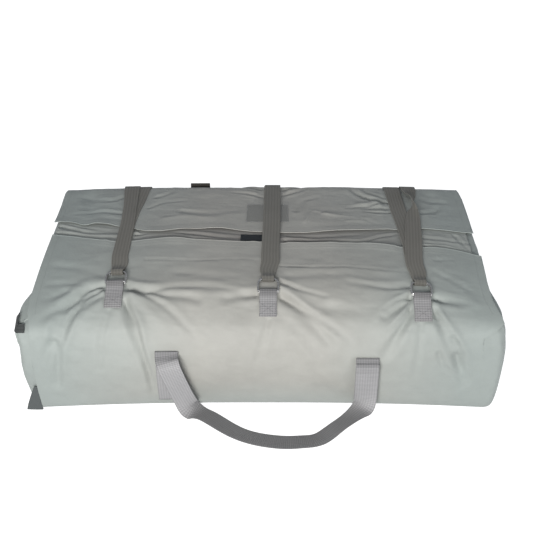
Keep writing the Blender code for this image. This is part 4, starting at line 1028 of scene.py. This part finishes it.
def back_cloth():
    middle = float(COVER.end_of(0.0) - COVER.edge(0.0, "back"))
    places = flap_rows(BACK_ROWS, BACK_STEP, 0.0, middle)
    place, share = np.meshgrid(places, np.linspace(0, 1, FLAP_COLUMNS), indexing="ij")
    left, right = (table_at(BACK_SIDES, place, column) for column in (1, 2))
    x = right - share * (right - left)
    end = COVER.end_of(x)
    edge = end - COVER.edge(x, "back")
    from_rim = place + ease((place - BACK_EDGE_FROM) / (middle - BACK_EDGE_FROM)) * (edge - middle)
    s = end - from_rim
    depth = sunk(x, from_rim, BACK_FOLDS, FOLD_LEFT_AT_END)
    depth += sunk(x, s, BACK_CREASES) + small_relief(x + 2, s)
    depth *= clear_of(x, s, WINDOW)
    for sewn, _ in STRAPS.values():
        near = ease((STRAP_FLAT - np.abs(x - table_at(sewn, s, 1))) / STRAP_FLAT_BLEND)
        depth = np.where(depth < 0, depth * (1 - near), depth)
    away, sides = edge - from_rim, (left, right)
    piece = big_cloth("back_cloth", "back_panel", x, s, sides, depth, from_rim, away, BACK_SIDE_FREE, 11)


def grid_of(first, second, counts):
    """Even rows of one value and columns of another, each from and to its two ends."""
    places = [np.linspace(*ends, count) for ends, count in zip((first, second), counts)]
    return np.meshgrid(*places, indexing="ij")


def underlap_cloth():
    left, right = UNDERLAP_ENDS
    share, x = grid_of((0, 1), (left, right), UNDERLAP_GRID)
    front, back = COVER.edge(x, "front"), COVER.edge(x, "back")
    s = front - UNDERLAP_TUCK + share * (back - front + 2 * UNDERLAP_TUCK)
    shown = ease((s - front - 3 * MM) / SHOWN_BLEND) * ease((back - 3 * MM - s) / SHOWN_BLEND)
    depth = (sunk(x, s - front, UNDERLAP_FOLDS) + small_relief(x + 5, s)) * shown
    points = COVER.at(x, s, -UNDERLAP_DROP - depth)
    maps = cloth_maps(x, s, np.minimum(x - left, right - x))
    piece = cloth_piece("underlap_cloth", "underlap", points, "shaded", maps)


def end_grid(side):
    """Rows of points of one end's cloth, from the front seam round the end to the back seam."""
    at_seam = side * END_SEAM
    length = float(COVER.end_of(at_seam))
    upper = section_at(END_SEAM)[SHOULDER_ROW * STEPS : BACK_BROW_ROW * STEPS + STEPS // 2]
    rows = []
    for s_front, s_back, drop, height, *reaches, most_radius in END_ROWS:
        reach, swell = reaches[:2] if side > 0 else reaches[2:]
        front, back = COVER.one(at_seam, s_front, -drop), COVER.one(at_seam, length - s_back, -drop)
        front_y = front.y + (0.0 if side > 0 else float(table_at(LEFT_RECESS, front.z, 1)))
        front_seam = SEAM + abs(float(table_at(FRONT_SIDES, min(s_front, SEAM_TOP), 2 if side > 0 else 1)))
        radius = min(most_radius, reach - max(front_seam, END_SEAM + SEAM) - MM)

        def end_point(y):
            top_here = float(np.interp(y, upper[:, 0], upper[:, 1]))
            swollen = float(ease((FRONT_CORNER[0] - y) / (FRONT_CORNER[0] - FRONT_CORNER[1])))
            share = (y - front_y) / (back.y - front_y)
            bulge = END_BULGE * math.sin(math.pi * share) if height > 0 else 0.0
            z = top_here + height if height < 0 else height * (top_here - WALL_UNDER_TOP) / WALL_TOP
            return reach + swell * swollen + bulge, y, z

        def corner(seam, start, inward):
            x_end = end_point(start.y + inward * radius)[0]
            points = [(seam + share * (x_end - radius - seam), start.y, start.z) for share in (0.0, 0.5)]
            for turn in np.linspace(0, math.pi / 2, CORNER_PLACES):
                y = start.y + inward * radius * (1 - math.cos(turn))
                z = start.z + (end_point(y)[2] - start.z) * float(ease(2 * turn / math.pi))
                points.append((x_end - radius * (1 - math.sin(turn)), y, z))
            return points

        low, high = front_y + radius, back.y - radius
        row = corner(front_seam, Vector((0, front_y, front.z)), 1)
        row += [end_point(low + share * (high - low)) for share in END_COLUMNS]
        row += corner(END_SEAM + SEAM, back, -1)[::-1]
        points = [(side * x, y, max(z, 0.0)) for x, y, z in row]
        rows.append(points if side > 0 else points[::-1])
    return np.array(rows)


def smooth_grid(points, steps):
    """A finer grid through the points, along its rows and its columns."""
    return smooth_line(smooth_line(points, steps).swapaxes(0, 1), steps).swapaxes(0, 1)


def grid_normals(points):
    return unit(np.cross(np.gradient(points, axis=1), np.gradient(points, axis=0)))


def end_cloths():
    for side, name in ((1, "right"), (-1, "left")):
        points = smooth_grid(end_grid(side), END_STEPS)
        rims = points[:, [0, -1]]
        narrow = rims + END_NARROW * (points[:, [1, -2]] - rims)
        points = np.hstack([rims[:, :1], narrow[:, :1], points[:, 1:-1], narrow[:, 1:], rims[:, 1:]])
        y, z = points[..., 1], points[..., 2]
        sink = sunk(y, z, END_FOLDS[name]) + END_RELIEF * UNEVEN.at(y + 20, z, 0.06)
        share = np.linspace(0, 1, points.shape[1])
        rows = np.linspace(0, len(END_ROWS) - 1, points.shape[0])[:, None]
        sink *= ease(z / FOOT_BLEND) * ease(np.minimum(share, 1 - share) / END_FREE)
        sink *= ease((TUCKED_ROW - rows) / TUCKED_BLEND)
        points = points - grid_normals(points) * sink[..., None]
        points[..., 2] = np.maximum(points[..., 2], 0.0)
        upward = ease((grid_normals(points)[..., 2] - FACING_UP) / FACING_BLEND)
        near = range(-FACING_COLUMNS, FACING_COLUMNS + 1)
        upward = np.max([np.roll(upward, step, 1) for step in near], axis=0)
        points[..., 2] = np.maximum(points[..., 2], VISUAL_CLOTH * upward)
        piece = cloth_piece(f"end_cloth_{name}", f"end_panel_{name}", points, "cloth", cloth_maps(y, z))


def tuck_cloth():
    rows = []
    share = np.linspace(0, 1, TUCK_COLUMNS)
    for height, left, y in smooth_line(TUCK_ROWS, TUCK_STEPS):
        right = float(table_at(FRONT_SIDES, height, 1)) - SEAM - REST
        bow = TUCK_BOW * np.sin(math.pi * share) + TUCK_RELIEF * UNEVEN.at(share * 0.03, height, 0.012)
        rows.append(np.stack([left + share * (right - left), y - bow * TUCK_BOW_OUT, height + 0 * share], -1))
    points = np.maximum(rows, (-np.inf, -np.inf, 0.0))
    maps = cloth_maps(points[..., 0], points[..., 2])
    piece = cloth_piece("tuck_cloth", "corner_tuck", points, "tuck", maps, TUCK_CLOTH)


def patch(name, node, x, s, lift, kind, thickness):
    side = np.minimum(x - x.min(), x.max() - x)
    edge = np.minimum(s - s.min(axis=0), s.max(axis=0) - s)
    cloth_piece(name, node, COVER.at(x, s, lift), kind, cloth_maps(x, s, side, edge), thickness)


def patches():
    left, right, low, high = WINDOW
    high -= FILM_SHORT
    s, x = grid_of((low, high), (left, right), (WINDOW_GRID, WINDOW_GRID))
    middle = np.minimum(np.minimum(x - left, right - x), np.minimum(s - low, high - s))
    lift = REST + WINDOW_FILM + FILM_RELIEF * UNEVEN.at(x, s, 0.018) * ease(middle / 0.012)
    patch("window_film", "window_pocket", x, s, lift, "film", WINDOW_FILM * 0.5)
    left, right, low, high = HOOK_PATCH
    share, x = grid_of((0, 1), (left, right), HOOK_GRID)
    s = COVER.edge(x, "front") + HOOK_FROM_EDGE + low + share * (high - low)
    patch("hook_tape", "hook_patch", x, s, HOOK_DEPTH + REST - UNDERLAP_DROP, "hook", HOOK_DEPTH)


# Webbing


def band(node, stations, thickness, kind, dark=()):
    """Webbing through stations of (middle, direction across, width), with rounded selvedges.

    Each dark stretch is (first station, last station, how dark)."""
    rows = np.array([[*middle, *across, width, 0.0] for middle, across, width in stations], float)
    for first, last, shade in dark:
        rows[first : last + 1, 7] = shade
    rows = smooth_line(rows, BAND_STEPS)
    middles, across, widths, shades = rows[:, :3], rows[:, 3:6], rows[:, 6:7], rows[:, 7:]
    along = unit(np.gradient(middles, axis=0))
    across = unit(across - along * (across * along).sum(axis=1)[:, None])
    up = np.cross(along, across)
    gone = gone_along(middles)[:, None]
    low = np.abs(across[:, 2:]) * widths / 2 + np.abs(up[:, 2:]) * thickness / 2
    middles[:, 2:] = np.maximum(middles[:, 2:], low)
    out, rise = BAND_PROFILE.T
    over = out * widths / 2
    points = middles[:, None] + across[:, None] * over[..., None]
    points = points + up[:, None] * (rise[:, None] * thickness / 2)
    shades = np.clip(shades + FLOOR_SHADE * ease(1 - middles[:, 2:] / FLOOR_SHADE_TOP), 0, 1)
    maps = cloth_maps(over, gone + 0 * over, widths / 2 - np.abs(over), gone[-1] - gone)
    maps.append(("shade", np.stack([shades + 0 * over, over], -1)))
    put_for(grid_piece(f"{node}_webbing", points, kind, maps, closed=True, capped=True), node)


def along_x(x, s):
    """Direction across a piece of webbing, level with the cover under it."""
    return (COVER.one(x + STRAP_WIDTH / 2, s) - COVER.one(x - STRAP_WIDTH / 2, s)).normalized()


class RingFrame:
    """Where a tab's two rings lie: both flat, one over the other."""

    def __init__(self, x, bar):
        self.origin = COVER.one(x, bar, LOWER_BAR)
        far = COVER.one(x, bar + RING_REACH, LOWER_BAR) - self.origin
        self.up = far.normalized()
        across = along_x(x, bar + RING_REACH / 2)
        self.across = (across - self.up * across.dot(self.up)).normalized()
        self.facing = self.across.cross(self.up)
        self.bow = bar + RING_REACH**2 / far.length

    def at(self, along, rise):
        return self.origin + self.up * along + self.facing * rise


def tabs():
    for name, x, low, bar in TABS:
        ring_frame = RingFrame(x, bar)
        turn = len(TAB_UPPER_EXTRA)
        places = [(s, 0.0) for s in np.linspace(low, bar - TAB_NEAR, turn)]
        upper = np.linspace(bar - TAB_UPPER_NEAR, low + TAB_UPPER_SHORT, turn)
        places += [(s, LAYER + extra) for s, extra in zip(upper, TAB_UPPER_EXTRA)]
        stations = [(COVER.one(x, s, REST + BELT / 2 + lift), along_x(x, s), TAB_WIDTH) for s, lift in places]
        stations[turn:turn] = [(ring_frame.at(*place), ring_frame.across, TAB_WIDTH) for place in TAB_TURN]
        band(f"tab_{name}", stations, BELT, "tab", dark=[(turn + 1, turn + len(TAB_TURN) - 1, TAB_SHADE)])


def ring_outline():
    """The D of a ring: a straight bar, then straight sides into a flattened bow."""
    bar = [(share * RING_HALF_WIDTH, 0.0) for share in (-RING_BAR_HALF, RING_BAR_HALF)]
    right = [(across * RING_HALF_WIDTH, along * RING_REACH) for across, along in RING_SHOULDERS]
    low = RING_BOW_FROM * RING_REACH
    bow = []
    for angle in np.linspace(0, math.pi, RING_BOW_STEPS + 1):
        out = math.copysign(abs(math.cos(angle)) ** RING_SQUARENESS, math.cos(angle))
        bow.append((RING_HALF_WIDTH * out, low + (RING_REACH - low) * math.sin(angle) ** RING_SQUARENESS))
    left = [(-across, along) for across, along in reversed(right)]
    return bar + right + bow + left


def rings():
    outline = np.array(ring_outline())
    outline = smooth_line(np.vstack([outline, outline[:1]]), BAND_STEPS)
    outline[-1] = outline[0]
    way = np.roll(outline[:-1], -1, axis=0) - np.roll(outline[:-1], 1, axis=0)
    way = unit(np.vstack([way, way[:1]]))
    turns = np.linspace(0, math.tau, RING_SIDES + 1)[:, None]
    for name, x, _, bar in TABS:
        ring_frame = RingFrame(x, bar)
        axes = (ring_frame.origin, ring_frame.across, ring_frame.up, ring_frame.facing)
        origin, across, up, facing = map(np.array, axes)
        outward = way[:, 1:] * across - way[:, :1] * up
        aside = outward[:, None] * np.cos(turns) + facing * np.sin(turns)
        for level, height in (("lower", 0.0), ("upper", RING_STACK)):
            middle = origin + height * facing + outline[:, :1] * across + outline[:, 1:] * up
            points = middle[:, None] + aside * RING_WIRE / 2
            piece = grid_piece(f"ring_{name}_{level}_wire", points, "steel", closed=True)
            put_for(piece, f"ring_{name}_{level}")


def strap_station(s, x, lift, width, turn=0.0):
    here = COVER.one(x, s, lift)
    out = (COVER.one(x, s, lift + MM) - here).normalized()
    angle = math.radians(turn)
    return here, along_x(x, s) * math.cos(angle) + out * math.sin(angle), width


def strap_run(start, rows):
    """Stations of a strap from its rings to one of its ends, close together at its bends."""
    places = [start]
    while places[-1] < rows[-1][0] - STRAP_SHORTEST:
        bent = any(low < places[-1] < high for low, high in STRAP_BENDS)
        places.append(min(places[-1] + (STRAP_BEND_STEP if bent else STRAP_STEP), rows[-1][0]))
    return [strap_station(s, *(float(table_at(rows, s, column)) for column in (1, 2, 3, 4))) for s in places]


def straps():
    for name, x, _, bar in TABS:
        ring_frame = RingFrame(x, bar)
        bow = ring_frame.bow
        sewn, free = (strap_run(bow + STRAP_NEAR[-1][0] + STRAP_STEP, rows) for rows in STRAPS[name])
        stations = sewn[::-1]
        stations += [strap_station(bow + s, x, lift, width) for s, lift, _, width in reversed(STRAP_NEAR)]
        turn = len(stations)
        for along, rise, width in STRAP_TURN:
            stations.append((ring_frame.at(RING_REACH + along, rise), ring_frame.across, width))
        stations += [strap_station(bow + s, x, lift, width) for s, _, lift, width in STRAP_NEAR]
        band(f"strap_{name}", stations + free, BELT, "strap", dark=[(turn - 2, turn + 6, STRAP_SHADE)])


def leg(side, x, low, high, inward):
    """Stations up a sewn leg and over its fold. side is 1 at the front and -1 at the back."""
    route = [(s, LEG_LIFT) for s in np.linspace(low, high, LEG_STEPS + 1)[:-1]]
    route += [(high + s, lift) for s, lift in LEG_FOLD]
    stations = []
    for s, lift in route:
        s = s if side > 0 else float(COVER.end_of(x)) - s
        stations.append((COVER.one(x, s, lift), along_x(x, s) * inward, HANDLE_WIDTH))
    return stations


def loop_stations(rows):
    return [(row[:3], row[3:], HANDLE_WIDTH) for row in smooth_line(rows, LOOP_STEPS)]


def handles():
    stations = leg(1, *FRONT_LEFT_LEG, 1) + loop_stations(FRONT_LOOP) + leg(1, *FRONT_RIGHT_LEG, -1)[::-1]
    fold, last = LEG_STEPS + len(LEG_FOLD), len(stations) - 1
    dark = [(LEG_STEPS, fold + 1, LEG_SHADES[0]), (fold + 2, fold + 3, LEG_SHADES[1])]
    dark += [(last - b, last - a, shade) for a, b, shade in dark]
    band("front_handle", stations, GRIP, "handle", dark=dark)
    stations = leg(-1, *BACK_LEFT_LEG, 1)[: -len(LEG_FOLD)]
    stations += [((BACK_LEFT_LEG[0], y, z), (1, 0, 0), HANDLE_WIDTH) for y, z in BACK_STAND]
    stations += loop_stations(BACK_LOOP) + leg(-1, *BACK_RIGHT_LEG, -1)[::-1]
    band("back_handle", stations, GRIP, "back")


def end_loop():
    """A short band of webbing round the left end's front corner, dark with painted shade."""
    grid = end_grid(-1)
    row, share = int(END_LOOP_ROW), END_LOOP_ROW % 1
    stations = []
    for place in END_LOOP_COLUMNS:
        column = grid.shape[1] - 1 - place
        here = grid[row, column] * (1 - share) + grid[row + 1, column] * share
        up = unit(grid[row + 1, column] - grid[row - 1, column])
        out = unit(np.cross(up, grid[row, column - 1] - grid[row, column + 1]))
        out *= math.copysign(1.0, out[:2] @ here[:2])
        stations.append((here + out * (END_LOOP_LIFT + GRIP / 2), up, END_LOOP_WIDTH))
    band("end_loop", stations, GRIP, "dark")


def base():
    """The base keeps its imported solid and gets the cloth's finish."""
    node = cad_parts["base_panel"]
    node.data.materials.clear()
    node.data.materials.append(finish_of("base"))


# Stage


def area_light(name, place, target, size, power, colour):
    light = bpy.data.lights.new(name, "AREA")
    light.shape = "RECTANGLE"
    light.size, light.size_y = size
    light.energy = power
    light.color = colour
    made = linked(name, light)
    made.location = place
    made.rotation_euler = (Vector(target) - Vector(place)).to_track_quat("-Z", "Y").to_euler()
    return made


def stage(settings):
    form = bmesh.new()
    bmesh.ops.create_grid(form, x_segments=8, y_segments=8, size=FLOOR_HALF)
    floor = linked("floor", mesh_of(form, "floor", "floor"))
    floor.visible_diffuse = False
    for name, place, target, size, share, colour in LIGHTS:
        area_light(name, place, target, size, settings.light * share, colour)
    camera = linked("camera", bpy.data.cameras.new("camera"))
    camera.location = CAMERA_PLACE
    camera.rotation_euler = (settings.tilt, 0.0, 0.0)
    camera.data.lens = settings.lens
    scene = bpy.context.scene
    scene.camera = camera
    scene.world = bpy.data.worlds.new("studio")
    scene.world.use_nodes = True
    background = scene.world.node_tree.nodes["Background"]
    background.inputs["Color"].default_value = (*WORLD, 1.0)
    background.inputs["Strength"].default_value = settings.ambient
    scene.view_settings.view_transform = "Standard"


class CoverSettings(bpy.types.PropertyGroup):
    """Values of the stage."""

    light: bpy.props.FloatProperty(
        name="Light", description="Power of the key light", default=70.0, unit="POWER"
    )
    ambient: bpy.props.FloatProperty(name="Ambient", description="Strength of the surroundings", default=0.35)
    lens: bpy.props.FloatProperty(name="Lens", description="Focal length in millimetres", default=62.2)
    tilt: bpy.props.FloatProperty(
        name="Tilt", description="Turn of the camera up from straight down", default=1.0001, subtype="ANGLE"
    )


class COVER_OT_panels(bpy.types.Operator):
    """Build the front and back cloths with their folds and hems"""

    bl_idname = "cover.panels"
    bl_label = "Front and back cloths"

    def execute(self, context):
        front_cloth()
        back_cloth()
        return {"FINISHED"}


class COVER_OT_underlap(bpy.types.Operator):
    """Build the cloth that shows between the two flaps"""

    bl_idname = "cover.underlap"
    bl_label = "Underlap"

    def execute(self, context):
        underlap_cloth()
        return {"FINISHED"}


class COVER_OT_ends(bpy.types.Operator):
    """Build the cloths of the two ends and the dark tuck in the lower left corner"""

    bl_idname = "cover.ends"
    bl_label = "Ends"

    def execute(self, context):
        end_cloths()
        tuck_cloth()
        base()
        return {"FINISHED"}


class COVER_OT_patches(bpy.types.Operator):
    """Build the film window and the hook tape"""

    bl_idname = "cover.patches"
    bl_label = "Window and hook tape"

    def execute(self, context):
        patches()
        return {"FINISHED"}


class COVER_OT_closures(bpy.types.Operator):
    """Build the tabs, rings and straps"""

    bl_idname = "cover.closures"
    bl_label = "Tabs, rings and straps"

    def execute(self, context):
        tabs()
        rings()
        straps()
        return {"FINISHED"}


class COVER_OT_handles(bpy.types.Operator):
    """Build the carry handles and the end loop"""

    bl_idname = "cover.handles"
    bl_label = "Handles"

    def execute(self, context):
        handles()
        end_loop()
        return {"FINISHED"}


class COVER_OT_stage(bpy.types.Operator):
    """Build the floor, the lights, the surroundings and the camera"""

    bl_idname = "cover.stage"
    bl_label = "Stage"

    def execute(self, context):
        stage(context.scene.cover_settings)
        return {"FINISHED"}


OPERATORS = (
    COVER_OT_panels,
    COVER_OT_underlap,
    COVER_OT_ends,
    COVER_OT_patches,
    COVER_OT_closures,
    COVER_OT_handles,
    COVER_OT_stage,
)


class COVER_PT_panel(bpy.types.Panel):
    bl_label = "Boat carry cover"
    bl_space_type = "VIEW_3D"
    bl_region_type = "UI"
    bl_category = "Cover"

    def draw(self, context):
        settings = context.scene.cover_settings
        for name in ("light", "ambient", "lens", "tilt"):
            self.layout.prop(settings, name)
        for made in OPERATORS:
            self.layout.operator(made.bl_idname)


def register():
    for made in (CoverSettings, *OPERATORS, COVER_PT_panel):
        bpy.utils.register_class(made)
    bpy.types.Scene.cover_settings = bpy.props.PointerProperty(type=CoverSettings)


def unregister():
    del bpy.types.Scene.cover_settings
    for made in (COVER_PT_panel, *reversed(OPERATORS), CoverSettings):
        bpy.utils.unregister_class(made)


def main():
    register()
    for made in OPERATORS:
        group, name = made.bl_idname.split(".")
        getattr(getattr(bpy.ops, group), name)()


if __name__ == "__main__":
    main()
